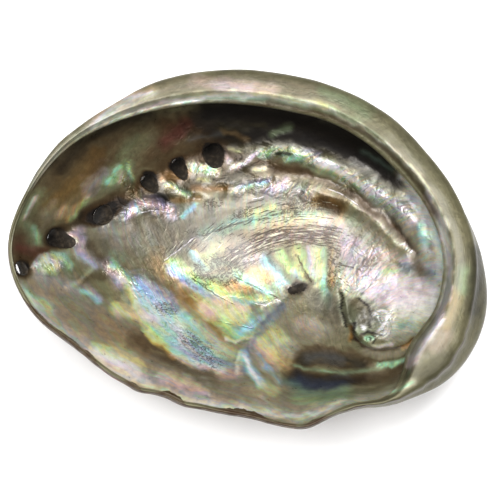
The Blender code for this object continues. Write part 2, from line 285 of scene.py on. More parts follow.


# The smooth slope down from the growing lip, with the broad rainbow band along it, a painted shadow in umber
# under the band and painted highlights in cream and rose along the lip.
LOWER_WALL: Sequence[Mark] = (
    Mark(Tone.TAUPE, 42, ((40, 300), (90, 330), (140, 362), (200, 388), (260, 402)), 0.9),
    Mark(Tone.TAUPE, 16, ((60, 300), (95, 318), (120, 330), (150, 345)), 0.6),
    Mark(Tone.BRONZE, 12, ((100, 324), (125, 336), (145, 348)), 0.45),
    Mark(Tone.UMBER, 10, ((136, 340), (158, 354), (184, 368), (214, 380)), 0.55),
    Mark(Tone.TAUPE, 12, ((180, 376), (215, 386), (250, 394)), 0.5),
    Mark((Tone.SKY, Tone.CYAN, Tone.MINT), 16, ((140, 292), (160, 308), (186, 330), (214, 350)), 0.95),
    Mark(Tone.CYAN, 5, ((174, 338), (186, 344), (196, 350)), 0.9),
    Mark((Tone.PERIWINKLE, Tone.SKY, Tone.PERIWINKLE), 11, ((138, 284), (152, 294), (166, 304)), 1.0),
    Mark((Tone.MINT, Tone.CYAN, Tone.LIME), 10, ((182, 316), (204, 332), (228, 350)), 0.75),
    Mark((Tone.MINT, Tone.SKY, Tone.STRAW), 9, ((154, 334), (172, 344), (200, 360)), 0.7),
    Mark((Tone.LILAC, Tone.CREAM, Tone.STRAW, Tone.ORANGE), 6, ((127, 282), (134, 298), (145, 318))),
    Mark(Tone.STRAW, 7, ((114, 306), (128, 312), (142, 316)), 0.6),
    Mark(Tone.PEACH, 4, ((116, 311), (130, 316), (144, 318)), 0.6),
    Mark((Tone.MINT, Tone.LIME, Tone.STRAW), 9, ((146, 322), (154, 332), (162, 340)), 0.9),
    Mark(Tone.PINK, 6, ((148, 316), (158, 320)), 0.7),
    Mark(Tone.PINK, 6, ((176, 326), (182, 336), (184, 346)), 0.65),
    Mark(Tone.STEEL, 5.5, ((163, 307), (174, 312)), 0.8),
    Mark(Detail.PITTING, 7, ((158, 304), (172, 311)), 0.7),
    Mark(Tone.STEEL, 11, ((194, 340), (204, 350), (216, 360)), 0.75),
    Mark(Tone.LILAC, 7, ((188, 352), (204, 362)), 0.5),
    Mark(Detail.PITTING, 11, ((188, 338), (202, 350), (216, 362)), 0.6),
    Mark(Detail.GLINT, 14, ((134, 284), (160, 306), (178, 336), (206, 356)), 0.35),
    Mark((Tone.STRAW, Tone.GOLD, Tone.UMBER), 6, ((144, 334), (158, 346), (174, 356)), 0.8),
    Mark((Tone.CYAN, Tone.CREAM, Tone.ROSE), 4, ((174, 353), (194, 361), (220, 370))),
    Mark((Tone.CYAN, Tone.STEEL, Tone.SKY), 6, ((210, 358), (226, 361), (238, 358)), 0.7),
    Mark(Tone.ROSE, 7, ((224, 374), (236, 374)), 0.55),
    Mark((Tone.STRAW, Tone.CREAM, Tone.ROSE), 11, ((98, 352), (116, 358), (136, 368)), 0.8),
    Mark(Tone.PINK, 3.5, ((104, 358), (116, 362), (132, 366)), 0.6),
    Mark((Tone.CREAM, Tone.ROSE, Tone.TAUPE), 10, ((162, 380), (184, 386), (204, 394)), 0.75),
    Mark(Tone.CREAM, 4, ((92, 352), (104, 368), (130, 377), (158, 391), (190, 401), (230, 408)), 0.7),
    Mark(Tone.CREAM, 3, ((240, 408), (280, 417), (316, 414), (345, 400)), 0.6),
    Mark(Tone.TAUPE, 9, ((250, 398), (285, 406), (318, 406)), 0.6),
)

# The bowl's floor on the left and in the middle, with its rainbow flashes, thin painted highlight lines, and
# the pit painted dark brown and near black as its shade.
FLOOR: Sequence[Mark] = (
    Mark(Tone.TAUPE, 34, ((120, 236), (165, 236), (215, 210), (270, 198), (320, 200)), 0.95),
    Mark(Tone.SILVER, 10, ((176, 214), (200, 210), (240, 198), (284, 198)), 0.6),
    Mark(Tone.SILVER, 6, ((150, 226), (152, 240), (154, 252)), 0.4),
    Mark(Tone.BRONZE, 13, ((158, 262), (172, 282), (192, 304), (214, 326), (232, 348)), 0.8),
    Mark(Tone.AMBER, 4, ((166, 272), (184, 294), (204, 314), (222, 336)), 0.55),
    Mark((Tone.LIME, Tone.CYAN, Tone.CREAM), 10, ((173, 268), (192, 283), (222, 299)), 0.95),
    Mark((Tone.SKY, Tone.PERIWINKLE), 4, ((172, 271), (192, 286), (222, 302)), 0.95, crisp=0.3),
    Mark(Tone.STEEL, 1.2, ((184, 282), (200, 291), (216, 299)), 0.6),
    Mark((Tone.STRAW, Tone.LIME), 4, ((186, 272), (206, 284), (232, 296)), 0.9),
    Mark(Tone.STRAW, 13, ((208, 306), (222, 313), (238, 314)), 0.9),
    Mark(Tone.ROSE, 6, ((202, 306), (210, 312)), 0.95),
    Mark(Tone.PEACH, 5, ((216, 302), (232, 303), (246, 308)), 0.8),
    Mark(Tone.LIME, 6, ((224, 322), (230, 332), (240, 336)), 0.9),
    Mark((Tone.CYAN, Tone.SKY, Tone.CYAN), 7, ((268, 317), (254, 323), (240, 333)), 1.0),
    Mark(Tone.STEEL, 1, ((260, 318), (248, 326)), 0.5),
    Mark((Tone.STRAW, Tone.CREAM), 2, ((226, 338), (236, 342), (250, 337), (262, 327)), 0.9, crisp=0.3),
    Mark((Tone.LIME, Tone.STRAW), 7, ((206, 260), (212, 253), (219, 246)), 0.9),
    Mark((Tone.CYAN, Tone.SKY, Tone.STRAW, Tone.BRONZE), 6, ((208, 266), (201, 260), (194, 252)), 0.95),
    Mark(Tone.ORANGE, 12, ((234, 286), (256, 276), (270, 272))),
    Mark((Tone.MINT, Tone.CYAN), 4.5, ((236, 272), (252, 283), (270, 292)), 0.95),
    Mark((Tone.LIME, Tone.STRAW, Tone.CYAN), 6, ((236, 296), (256, 301), (272, 300)), 0.9),
    Mark((Tone.SEA, Tone.CYAN, Tone.SKY), 6, ((264, 259), (275, 271), (286, 283)), 0.95),
    Mark(Tone.STEEL, 1.3, ((270, 262), (279, 273), (287, 282)), 0.6),
    Mark(Tone.LIME, 6, ((280, 254), (286, 262), (292, 270))),
    Mark(Tone.SKY, 4, ((296, 274), (304, 281)), 0.7),
    Mark((Tone.LIME, Tone.STRAW), 8, ((298, 252), (302, 264), (306, 276))),
    Mark(Tone.LILAC, 4, ((307, 248), (311, 262), (313, 274)), 0.9),
    Mark(Tone.UMBER, 1.3, ((296, 254), (302, 266), (309, 278)), 0.6),
    Mark((Tone.MINT, Tone.STRAW, Tone.CREAM), 9, ((318, 250), (319, 266), (321, 284)), 0.9),
    Mark((Tone.CYAN, Tone.MINT, Tone.SAGE), 6, ((323, 283), (325, 296), (326, 306)), 0.8),
    Mark(Tone.CYAN, 5, ((277, 284), (282, 292))),
    Mark(Tone.UMBER, 6.5, ((290, 291), (304, 287)), 0.8, crisp=0.6),
    Mark(Tone.SHADE, 5, ((291, 291), (303, 287)), 1.0, crisp=0.8),
    Mark(Tone.UMBER, 3, ((307, 276), (312, 282)), 0.7),
)

# The fold that comes down from the pit, and the slope beside it, with the fold's painted shadow in steel grey
# and painted shade along the dark valley at its foot.
FOLD: Sequence[Mark] = (
    Mark(Tone.TAUPE, 28, ((290, 308), (308, 328), (330, 316))),
    Mark(Tone.OLIVE, 12, ((298, 306), (318, 312)), 0.5),
    Mark(Tone.SILVER, 7, ((312, 322), (326, 330)), 0.5),
    Mark(Tone.ROSE, 8, ((300, 322), (316, 330)), 0.3),
    Mark(
        (Tone.STEEL, Tone.STEEL, Tone.SILVER), 7,
        ((282, 306), (269, 316), (258, 332), (248, 350), (244, 370)), 0.9,
    ),
    Mark(Tone.CREAM, 1.3, ((280, 301), (270, 303), (262, 308)), 0.8, crisp=0.3),
    Mark((Tone.STRAW, Tone.PEACH, Tone.ROSE), 11, ((262, 344), (268, 350), (272, 356))),
    Mark(Tone.STRAW, 8, ((272, 332), (284, 340)), 0.55),
    Mark(Tone.ORANGE, 9, ((274, 356), (284, 364)), 0.6),
    Mark((Tone.SKY, Tone.PEARL, Tone.CYAN), 6, ((244, 356), (251, 370), (260, 384)), 0.95),
    Mark((Tone.SKY, Tone.SILVER), 4, ((258, 356), (268, 370), (278, 382)), 0.7),
    Mark(Tone.STRAW, 6, ((262, 386), (276, 390)), 0.6),
    Mark(Tone.CREAM, 2, ((236, 372), (237, 362), (240, 354)), 0.8),
    Mark(
        (Tone.UMBER, Tone.SHADE, Tone.UMBER), 12, ((304, 360), (320, 356), (340, 358), (362, 364)),
        0.7, crisp=0.4,
    ),
    Mark(Tone.STEEL, 6, ((308, 358), (322, 356), (340, 359)), 0.4),
    Mark(
        (Tone.SAGE, Tone.MINT, Tone.SAGE), 3, ((296, 366), (320, 371), (350, 373), (376, 369), (400, 359)),
        0.55,
    ),
    Mark((Tone.UMBER, Tone.MOSS), 8, ((290, 374), (316, 379), (348, 381), (384, 377), (404, 370)), 0.8),
    Mark(Tone.SHADE, 6, ((296, 376), (318, 380), (348, 381), (376, 378)), 0.5),
    Mark(Tone.NAVY, 8, ((298, 380), (312, 385), (328, 386), (344, 384)), 0.75),
    Mark(Tone.SEA, 5, ((286, 380), (300, 390), (320, 395), (344, 393)), 0.4),
    Mark(Tone.MOSS, 9, ((374, 378), (394, 375), (412, 368)), 0.8),
    Mark(Tone.SAGE, 6, ((296, 398), (325, 400), (348, 392)), 0.8),
)

# The coil at the right end, with the bright field over it painted as a pool of light, painted highlights on
# the dome and the curl, painted shade along the dome's edge, and the grooves above painted dark as shade.
COIL: Sequence[Mark] = (
    Mark(Tone.OLIVE, 18, ((334, 206), (352, 222), (366, 238)), 0.7),
    Mark(Tone.SAGE, 7, ((352, 220), (362, 230), (372, 242)), 0.5),
    Mark(Tone.TAUPE, 12, ((372, 222), (386, 236), (398, 248)), 0.8),
    Mark(Tone.ROSE, 6, ((378, 250), (392, 256)), 0.4),
    Mark(Tone.PINK, 24, ((352, 252), (372, 282), (398, 300)), 0.8),
    Mark((Tone.PINK, Tone.PEARL, Tone.PINK), 10, ((346, 246), (356, 254), (372, 252)), 0.6),
    Mark(Tone.PEARL, 9, ((398, 304), (408, 306), (418, 302)), 0.7),
    Mark(Tone.PINK, 14, ((380, 292), (404, 288), (420, 300)), 0.6),
    Mark(Tone.TAUPE, 7, ((356, 268), (370, 261), (384, 262)), 0.55),
    Mark((Tone.PEACH, Tone.LIME), 4.5, ((384, 272), (394, 269)), 0.7),
    Mark((Tone.LILAC, Tone.STEEL, Tone.STEEL), 8, ((406, 264), (420, 268), (434, 273)), 0.9),
    Mark(Tone.UMBER, 1.4, ((416, 259), (420, 272), (423, 287)), 0.5),
    Mark(Tone.MOSS, 7, ((351, 191), (376, 208), (399, 231), (415, 253), (421, 270)), 0.9),
    Mark(Tone.UMBER, 3.5, ((354, 194), (378, 211), (401, 234), (416, 254), (421, 266)), 0.8),
    Mark(Tone.OLIVE, 5, ((372, 222), (388, 236), (402, 250)), 0.6),
    Mark(Tone.SHADE, 1.5, ((386, 212), (400, 228), (412, 246)), 0.5),
    Mark((Tone.PINK, Tone.TAUPE, Tone.CREAM), 2, ((340, 196), (360, 207), (382, 226), (400, 243)), 0.5),
    Mark(Tone.PEARL, 1.6, ((403, 244), (411, 252)), 0.8, crisp=0.3),
    Mark((Tone.MINT, Tone.CYAN), 5, ((420, 228), (424, 236), (426, 244)), 0.95),
    Mark(Tone.PEARL, 3.5, ((424, 246), (429, 254)), 0.8),
    Mark((Tone.SKY, Tone.MINT), 5, ((434, 226), (441, 244), (444, 266)), 0.95),
    Mark(Tone.SILVER, 7, ((420, 258), (436, 262)), 0.4),
    Mark(Tone.PINK, 7, ((420, 284), (432, 292), (432, 304)), 0.7),
    Mark(Tone.CREAM, 15, ((392, 322), (410, 322), (424, 312)), 0.8),
    Mark(Tone.SILVER, 8, ((388, 330), (400, 338), (416, 330)), 0.45),
    Mark((Tone.SAGE, Tone.SEA), 5, ((399, 326), (406, 322)), 0.7),
    Mark(Tone.PEARL, 7, ((374, 312), (382, 320), (384, 332)), 0.7),
    Mark(Detail.GLINT, 7, ((374, 312), (384, 318), (382, 332)), 0.5),
    Mark(Detail.GLINT, 12, ((352, 246), (372, 256), (360, 282)), 0.35),
    Mark(Tone.SAGE, 15, ((352, 306), (360, 314), (362, 324)), 0.8),
    Mark(Tone.OLIVE, 11, ((354, 308), (361, 314), (362, 320)), 0.8),
    Mark(Tone.UMBER, 7, ((352, 303), (362, 305), (367, 314), (364, 322)), 0.5),
    Mark(Tone.SHADE, 1.7, ((359, 299), (367, 305), (371, 316), (370, 328)), 0.8, crisp=0.5),
    Mark(Tone.PEARL, 1.6, ((362, 326), (364, 328)), 1.0, crisp=0.5),
    Mark((Tone.UMBER, Tone.AMBER, Tone.BRONZE), 3, ((350, 325), (350, 333), (352, 340)), 0.85, crisp=0.4),
    Mark(Tone.SHADE, 2, ((354, 323), (353, 332), (356, 339)), 0.85, crisp=0.5),
    Mark(Tone.SHADE, 1.6, ((361, 334), (366, 332), (372, 333), (375, 338), (373, 343)), 0.8, crisp=0.5),
    Mark(Tone.MOSS, 1.6, ((361, 334), (360, 340), (364, 344)), 0.7, crisp=0.5),
    Mark(Tone.MINT, 2.6, ((366, 338), (371, 338)), 1.0, crisp=0.5),
    Mark(Tone.SHADE, 1.1, ((370, 339), (368, 337)), 0.8, crisp=0.5),
    Mark(Tone.SHADE, 1.2, ((373, 332), (378, 332), (382, 335)), 0.75, crisp=0.5),
    Mark(Tone.SILVER, 8, ((376, 318), (384, 318), (382, 330)), 0.7),
    Mark(Tone.PEARL, 1.2, ((374, 315), (381, 310), (388, 313), (386, 322), (379, 330)), 0.9, crisp=0.4),
    Mark((Tone.CREAM, Tone.PINK), 2.5, ((366, 347), (376, 347), (392, 344)), 0.8),
    Mark(
        (Tone.MOSS, Tone.UMBER, Tone.SHADE, Tone.UMBER, Tone.MOSS), 2,
        ((354, 336), (361, 345), (378, 351), (400, 348), (418, 338), (431, 318)), 0.8, crisp=0.5,
    ),
    Mark(Tone.SHADE, 1.5, ((340, 292), (342, 300), (342, 309)), 1.0, crisp=0.6),
    Mark(Tone.SHADE, 1.3, ((342, 313), (344, 320), (346, 326)), 0.9, crisp=0.6),
    Mark(Tone.CREAM, 1.4, ((338, 294), (339, 304), (340, 314), (343, 324)), 0.5, crisp=0.4),
    Mark(Tone.TAUPE, 5, ((364, 352), (384, 356), (404, 352), (424, 340)), 0.8),
    Mark((Tone.AMBER, Tone.ORANGE), 4, ((404, 347), (414, 344)), 0.85, crisp=0.3),
    Mark(Tone.UMBER, 1.5, ((372, 359), (388, 362), (402, 357)), 0.5),
    Mark(Tone.MINT, 2, ((378, 363), (392, 365), (404, 360)), 0.8),
)

# The upper wall under the shelf, from the left end to the right, painted dark brown and near black as the
# shelf's shade, with faint painted reflections in it.
UPPER_WALL_SHADE: Sequence[Mark] = (
    Mark(Tone.MOSS, 30, ((24, 235), (40, 200), (66, 172), (100, 150), (145, 142), (190, 140)), 1.0),
    Mark(Tone.OLIVE, 14, ((40, 214), (62, 188), (88, 164), (118, 152)), 0.45),
    Mark(Tone.AMBER, 11, ((50, 204), (72, 186), (88, 172), (98, 154)), 0.45),
    Mark(Tone.UMBER, 10, ((96, 166), (112, 158), (140, 158), (170, 150)), 0.5),
    Mark(Tone.UMBER, 16, ((58, 182), (90, 156), (134, 132)), 0.3),
    Mark(Tone.SAGE, 10, ((124, 158), (130, 148), (138, 140)), 0.35),
    Mark(Tone.SHADE, 7, ((60, 168), (84, 142), (120, 122), (150, 114)), 0.55),
    Mark(Tone.OLIVE, 9, ((126, 166), (140, 150), (152, 132)), 0.5),
    Mark(Tone.UMBER, 14, ((165, 126), (190, 124), (205, 132))),
    Mark(Tone.RUST, 8, ((166, 142), (178, 132), (186, 124)), 0.55),
    Mark(Tone.SHADE, 22, ((208, 112), (250, 112), (300, 121), (345, 137), (385, 160)), 1.0),
    Mark(Tone.SHADE, 11, ((214, 138), (250, 136), (290, 134), (328, 143), (362, 160)), 0.95),
    Mark(Tone.SHADE, 8, ((374, 166), (388, 176), (398, 182)), 0.9),
    Mark(Tone.STEEL, 4, ((190, 141), (206, 137), (220, 134)), 0.35),
    Mark(Tone.SAGE, 5, ((272, 134), (281, 130), (289, 128)), 0.6),
    Mark(Tone.BRONZE, 4, ((224, 132), (236, 134), (246, 140)), 0.5),
    Mark(Tone.SEA, 4, ((362, 152), (378, 160), (390, 169)), 0.35),
)

# The left wall, with the youngest holes, the painted highlights and rainbow flashes between them, and painted
# shade along the row and in the slit of the third hole.
LEFT_END: Sequence[Mark] = (
    Mark(Tone.SAGE, 9, ((22, 222), (28, 208), (38, 194)), 0.4),
    Mark((Tone.SAGE, Tone.CREAM, Tone.ROSE), 3.5, ((24, 218), (29, 208), (36, 198)), 0.7),
    Mark(Tone.SAGE, 8, ((30, 228), (38, 244)), 0.5),
    Mark(Tone.MINT, 3, ((33, 230), (38, 242)), 0.45),
    Mark(Tone.SILVER, 6, ((47, 214), (53, 203)), 0.4),
    Mark(Tone.RUST, 8, ((20, 248), (32, 252), (44, 252)), 0.6),
    Mark(Tone.UMBER, 7, ((20, 256), (34, 259), (46, 254)), 0.75),
    Mark(Tone.BRONZE, 9, ((62, 216), (72, 208), (84, 196)), 0.45),
    Mark((Tone.ORANGE, Tone.STRAW, Tone.LIME, Tone.SAGE), 5, ((70, 219), (77, 209), (87, 198)), 0.75),
    Mark(Tone.PEACH, 4, ((60, 214), (66, 208)), 0.5),
    Mark(Tone.LILAC, 9, ((88, 188), (96, 180), (106, 174)), 0.35),
    Mark(Tone.SAGE, 9, ((108, 184), (116, 174), (126, 164)), 0.5),
    Mark((Tone.CYAN, Tone.MINT, Tone.LIME), 3.5, ((109, 184), (114, 176), (120, 167)), 0.8),
    Mark(Tone.PEACH, 3, ((119, 180), (122, 172)), 0.6),
    Mark((Tone.SEA, Tone.MINT, Tone.LIME), 3, ((133, 182), (130, 173), (127, 165)), 0.8),
    Mark(Detail.GLINT, 6, ((126, 182), (132, 190), (140, 198)), 0.7),
    Mark(Tone.UMBER, 9, ((86, 212), (102, 206), (120, 198), (132, 194))),
    Mark(Tone.SHADE, 6, ((84, 218), (100, 215), (112, 208), (124, 203)), 1.0),
    Mark(Tone.UMBER, 6, ((66, 228), (78, 222)), 0.7),
    Mark(Tone.SILVER, 9, ((40, 276), (58, 284), (76, 290)), 0.6),
    Mark((Tone.TAUPE, Tone.MINT, Tone.STRAW, Tone.CREAM), 8, ((20, 288), (34, 298), (50, 306)), 0.7),
    Mark(Tone.TAUPE, 12, ((46, 302), (74, 318), (100, 326)), 0.5),
    Mark(Tone.PEARL, 7, ((40, 262), (50, 260), (58, 262)), 0.8),
    Mark((Tone.MINT, Tone.LIME, Tone.SAGE), 5, ((54, 255), (62, 259), (69, 267)), 0.8),
    Mark(Tone.STRAW, 4.5, ((44, 267), (54, 268)), 0.8),
    Mark(Tone.CREAM, 2.5, ((33, 266), (40, 261), (47, 256)), 0.8),
    Mark(Detail.GLINT, 7, ((36, 264), (50, 264), (60, 264)), 0.5),
    Mark(Tone.PINK, 5, ((70, 238), (76, 234), (81, 229)), 0.7),
    Mark(Tone.SILVER, 9, ((98, 224), (110, 226), (118, 228)), 0.5),
    Mark(Tone.LILAC, 6, ((82, 238), (80, 252), (86, 262), (96, 265))),
    Mark(Tone.UMBER, 5, ((91, 246), (96, 256), (106, 262)), 0.5),
    Mark(Tone.MOSS, 6, ((82, 282), (94, 276), (106, 274)), 0.6),
    Mark(Tone.CREAM, 2.5, ((66, 287), (80, 282), (92, 268)), 0.35),
    Mark((Tone.LILAC, Tone.PEARL, Tone.MINT), 9, ((121, 280), (115, 272), (112, 264)), 0.95),
    Mark(Detail.GLINT, 8, ((110, 268), (122, 272)), 0.6),
    Mark((Tone.LILAC, Tone.CYAN), 5, ((85, 290), (92, 294), (99, 299)), 0.8),
)

# The brown ground of the older holes and the hammered ridge that follows them, with painted highlights on the
# ridge's lumps and painted shade in its slits.
HOLE_ROW: Sequence[Mark] = (
    Mark(Tone.MOSS, 15, ((146, 198), (170, 186), (200, 176), (232, 170), (262, 168), (292, 172))),
    Mark(Tone.OLIVE, 9, ((172, 200), (200, 196), (232, 190)), 0.5),
    Mark(Tone.UMBER, 12, ((140, 184), (160, 172), (186, 160), (212, 152), (236, 156)), 0.75),
    Mark(Tone.AMBER, 5, ((164, 176), (178, 178), (190, 170)), 0.6),
    Mark(Tone.UMBER, 7, ((226, 156), (246, 160), (268, 163)), 0.7),
    Mark(Tone.TAUPE, 6, ((226, 178), (250, 178), (276, 180)), 0.6),
    Mark(Tone.AMBER, 4.5, ((192, 188), (208, 190), (228, 187))),
    Mark(Tone.AMBER, 4, ((166, 200), (182, 199), (198, 197)), 0.65),
    Mark(Tone.SHADE, 6, ((156, 199), (165, 200)), 1.0, crisp=0.5),
    Mark(Tone.CREAM, 5.9, ((193, 166), (203, 170), (216, 173)), 0.9),
    Mark(Tone.MINT, 3.7, ((194, 169), (204, 172), (212, 168)), 0.8),
    Mark(Tone.STRAW, 3, ((200, 179), (208, 181)), 0.6),
    Mark(Detail.GLINT, 9, ((194, 168), (206, 172), (218, 176)), 0.6),
    Mark((Tone.MINT, Tone.STRAW, Tone.CREAM), 4.1, ((168, 186), (178, 190), (188, 194)), 0.9),
    Mark(Detail.GLINT, 5, ((168, 186), (180, 191), (190, 195)), 0.5),
    Mark(Tone.PEACH, 1.9, ((163, 179), (167, 170)), 0.5),
    Mark(Tone.STRAW, 1.9, ((229, 148), (240, 150)), 0.6),
    Mark(Tone.PINK, 2.2, ((226, 154), (229, 162)), 0.7),
    Mark((Tone.CREAM, Tone.PINK), 3.3, ((232, 168), (244, 162), (254, 155), (262, 150))),
    Mark((Tone.CREAM, Tone.STRAW, Tone.MINT), 5.9, ((262, 153), (278, 150), (294, 151), (308, 156)), 0.9),
    Mark(Tone.MINT, 3.7, ((286, 158), (296, 158), (306, 160)), 0.8),
    Mark(Tone.LILAC, 2.6, ((304, 149), (318, 154)), 0.7),
    Mark(Detail.GLINT, 9, ((236, 165), (258, 155), (284, 153), (312, 158)), 0.55),
    Mark(Tone.SHADE, 2.5, ((276, 154), (290, 154)), 0.9),
    Mark(Tone.CREAM, 3, ((254, 170), (265, 168)), 0.8),
    Mark(Tone.UMBER, 7, ((276, 170), (292, 170), (308, 172)), 0.75),
    Mark(Tone.UMBER, 5, ((305, 175), (325, 180), (342, 190), (360, 202), (376, 217)), 0.65),
    Mark((Tone.SILVER, Tone.CREAM, Tone.SAGE), 7.4, ((308, 160), (330, 170), (352, 180), (374, 195)), 0.75),
    Mark(Tone.PEARL, 3.7, ((316, 160), (334, 168), (354, 180), (368, 189))),
    Mark((Tone.PEARL, Tone.PINK, Tone.SILVER), 6.7, ((368, 190), (384, 198), (400, 208), (412, 222)), 0.9),
    Mark(Tone.SILVER, 5.2, ((352, 164), (366, 172), (380, 184)), 0.5),
    Mark(Detail.GLINT, 9, ((344, 178), (366, 188), (388, 200), (404, 212)), 0.5),
    Mark(Tone.SILVER, 7.4, ((412, 190), (424, 206), (432, 222)), 0.8),
    Mark(Tone.LILAC, 3.7, ((410, 196), (418, 208), (424, 222)), 0.5),
    Mark((Tone.PERIWINKLE, Tone.CYAN, Tone.MINT), 3.7, ((240, 189), (252, 184), (266, 184)), 0.9),
    Mark(Tone.CREAM, 2.2, ((230, 192), (242, 192)), 0.6),
    Mark(Tone.LILAC, 4.1, ((267, 193), (276, 187), (286, 182))),
    Mark(Tone.SILVER, 4.4, ((286, 186), (300, 190), (310, 196)), 0.5),
    Mark(Detail.GLINT, 8, ((240, 188), (262, 185), (284, 190), (304, 194)), 0.65),
    Mark(Tone.PERIWINKLE, 3.7, ((160, 203), (172, 206)), 0.55),
    Mark((Tone.LILAC, Tone.PINK, Tone.LILAC), 6.7, ((124, 216), (138, 206), (152, 203), (170, 212))),
    Mark(Tone.SKY, 1.9, ((136, 206), (139, 212)), 0.7),
    Mark(Tone.PEARL, 2.6, ((154, 212), (166, 212), (174, 218)), 0.7),
    Mark(Detail.GLINT, 8, ((126, 212), (144, 205), (170, 211)), 0.6),
    Mark((Tone.SKY, Tone.CYAN), 2.6, ((196, 206), (190, 211), (182, 218)), 0.9),
    Mark(Detail.PITTING, 6, ((208, 206), (219, 203)), 0.8),
)

# The rough patches and the fine wavy lines that bend round the pit.
SCAR: Sequence[Mark] = (
    Mark(
        (Tone.SILVER, Tone.MINT, Tone.CREAM, Tone.PEACH), 16,
        ((206, 236), (240, 226), (284, 216), (324, 214)), 0.75,
    ),
    Mark(Tone.PINK, 5, ((180, 246), (196, 240), (212, 232)), 0.3),
    Mark(Tone.SILVER, 4, ((168, 256), (180, 248), (192, 242)), 0.7),
    Mark((Tone.CYAN, Tone.SILVER, Tone.MINT), 6, ((220, 230), (236, 224), (250, 222)), 0.6),
    Mark(Tone.STRAW, 4, ((246, 214), (262, 210), (274, 206)), 0.7),
    Mark(Tone.BRONZE, 7, ((288, 210), (302, 206), (316, 206)), 0.55),
    Mark((Tone.PEACH, Tone.ROSE, Tone.PEACH), 13, ((232, 258), (256, 243), (288, 234), (332, 234)), 0.9),
    Mark(Tone.PINK, 5, ((246, 262), (262, 256)), 0.6),
    Mark(Tone.PINK, 8, ((328, 222), (342, 230), (346, 240)), 0.6),
    Mark((Tone.SAGE, Tone.BRONZE, Tone.SAGE), 11, ((206, 274), (216, 271), (228, 268)), 0.75),
    Mark((Tone.CREAM, Tone.ORANGE, Tone.BRONZE), 6, ((333, 250), (332, 266), (332, 284)), 0.8),
    Mark(Tone.CREAM, 5, ((342, 262), (342, 276), (346, 290)), 0.7),
    Mark(Tone.AMBER, 10, ((324, 202), (336, 207)), 0.95),
    Mark(Detail.SCAR, 14, ((200, 240), (240, 222), (284, 212), (326, 212)), 0.5),
    Mark(Detail.SCAR, 7, ((170, 254), (190, 243), (212, 232)), 0.6),
    Mark(Detail.SCAR, 14, ((236, 256), (258, 243), (288, 234), (334, 234)), 1.0),
    Mark(Detail.PITTING, 14, ((204, 274), (216, 271), (228, 270)), 0.9),
    Mark(Detail.PITTING, 6, ((236, 214), (248, 212)), 0.6),
    Mark(Detail.PITTING, 8, ((288, 210), (306, 205), (318, 206)), 0.7),
    Mark(Detail.PITTING, 6, ((333, 250), (332, 266), (332, 284)), 0.8),
    Mark(Detail.SCAR, 5, ((342, 262), (342, 276), (346, 290)), 0.6),
)

# The broad shelf and the narrow lip: olive outside, darkened there as painted shade, champagne in the middle,
# and a bright painted highlight along the inner crest, with a thin line of painted shade under its edge.
SHELF: Sequence[Mark] = (
    Mark(Tone.TAUPE, 9, ((120, 108), (170, 88), (230, 80), (290, 86), (340, 102)), 0.7),
    Mark(Tone.ROSE, 7, ((196, 80), (240, 86), (272, 90)), 0.4),
    Mark(Tone.LILAC, 5, ((216, 86), (250, 90)), 0.35),
    Mark(Tone.SAGE, 8, ((322, 92), (345, 100), (366, 112)), 0.5),
    Mark((Tone.PEACH, Tone.PEARL, Tone.CREAM), 7, ((96, 122), (112, 108), (126, 100), (150, 92)), 0.75),
    Mark((Tone.TAUPE, Tone.ROSE, Tone.CREAM), 5, ((142, 109), (158, 104), (178, 100)), 0.9),
    Mark((Tone.SILVER, Tone.CREAM, Tone.SILVER), 5, ((94, 126), (112, 120), (132, 114)), 0.8),
    Mark((Tone.CREAM, Tone.PEARL, Tone.MINT), 5, ((176, 101), (200, 98), (232, 96), (262, 97)), 0.9),
    Mark((Tone.STRAW, Tone.CREAM, Tone.SAGE), 4.5, ((258, 96), (286, 100), (312, 104), (334, 112)), 0.8),
    Mark((Tone.SAGE, Tone.CREAM, Tone.SILVER), 4.5, ((330, 110), (350, 120), (368, 132), (382, 142)), 0.75),
    Mark((Tone.TAUPE, Tone.CREAM, Tone.SILVER), 4.5, ((380, 140), (400, 154), (418, 174), (432, 198)), 0.8),
    Mark((Tone.TAUPE, Tone.CREAM, Tone.LILAC), 5, ((430, 195), (444, 222), (451, 248), (452, 274))),
    Mark((Tone.OLIVE, Tone.PEACH, Tone.LILAC), 5, ((452, 272), (450, 298), (440, 320)), 0.8),
    Mark((Tone.TAUPE, Tone.PINK, Tone.LILAC), 5, ((442, 318), (428, 340), (412, 362)), 0.9),
    Mark(Tone.UMBER, 4, ((428, 342), (420, 352)), 0.4),
    Mark(Tone.PINK, 4, ((413, 358), (409, 366)), 0.9),
    Mark(
        Tone.UMBER, 2.5,
        (
            (150, 110), (190, 103), (240, 102), (290, 107), (330, 117),
            (366, 134), (396, 158), (418, 184), (434, 212),
        ),
        0.5,
    ),
    Mark(Tone.SAGE, 7, ((464, 272), (464, 290)), 0.7),
    Mark(Tone.GOLD, 5, ((456, 292), (454, 310), (446, 326)), 0.35),
    Mark(Tone.ROSE, 7, ((446, 334), (436, 348)), 0.35),
    Mark((Tone.CREAM, Tone.MINT, Tone.CREAM), 3.5, ((376, 396), (396, 390), (412, 382)), 0.8),
)
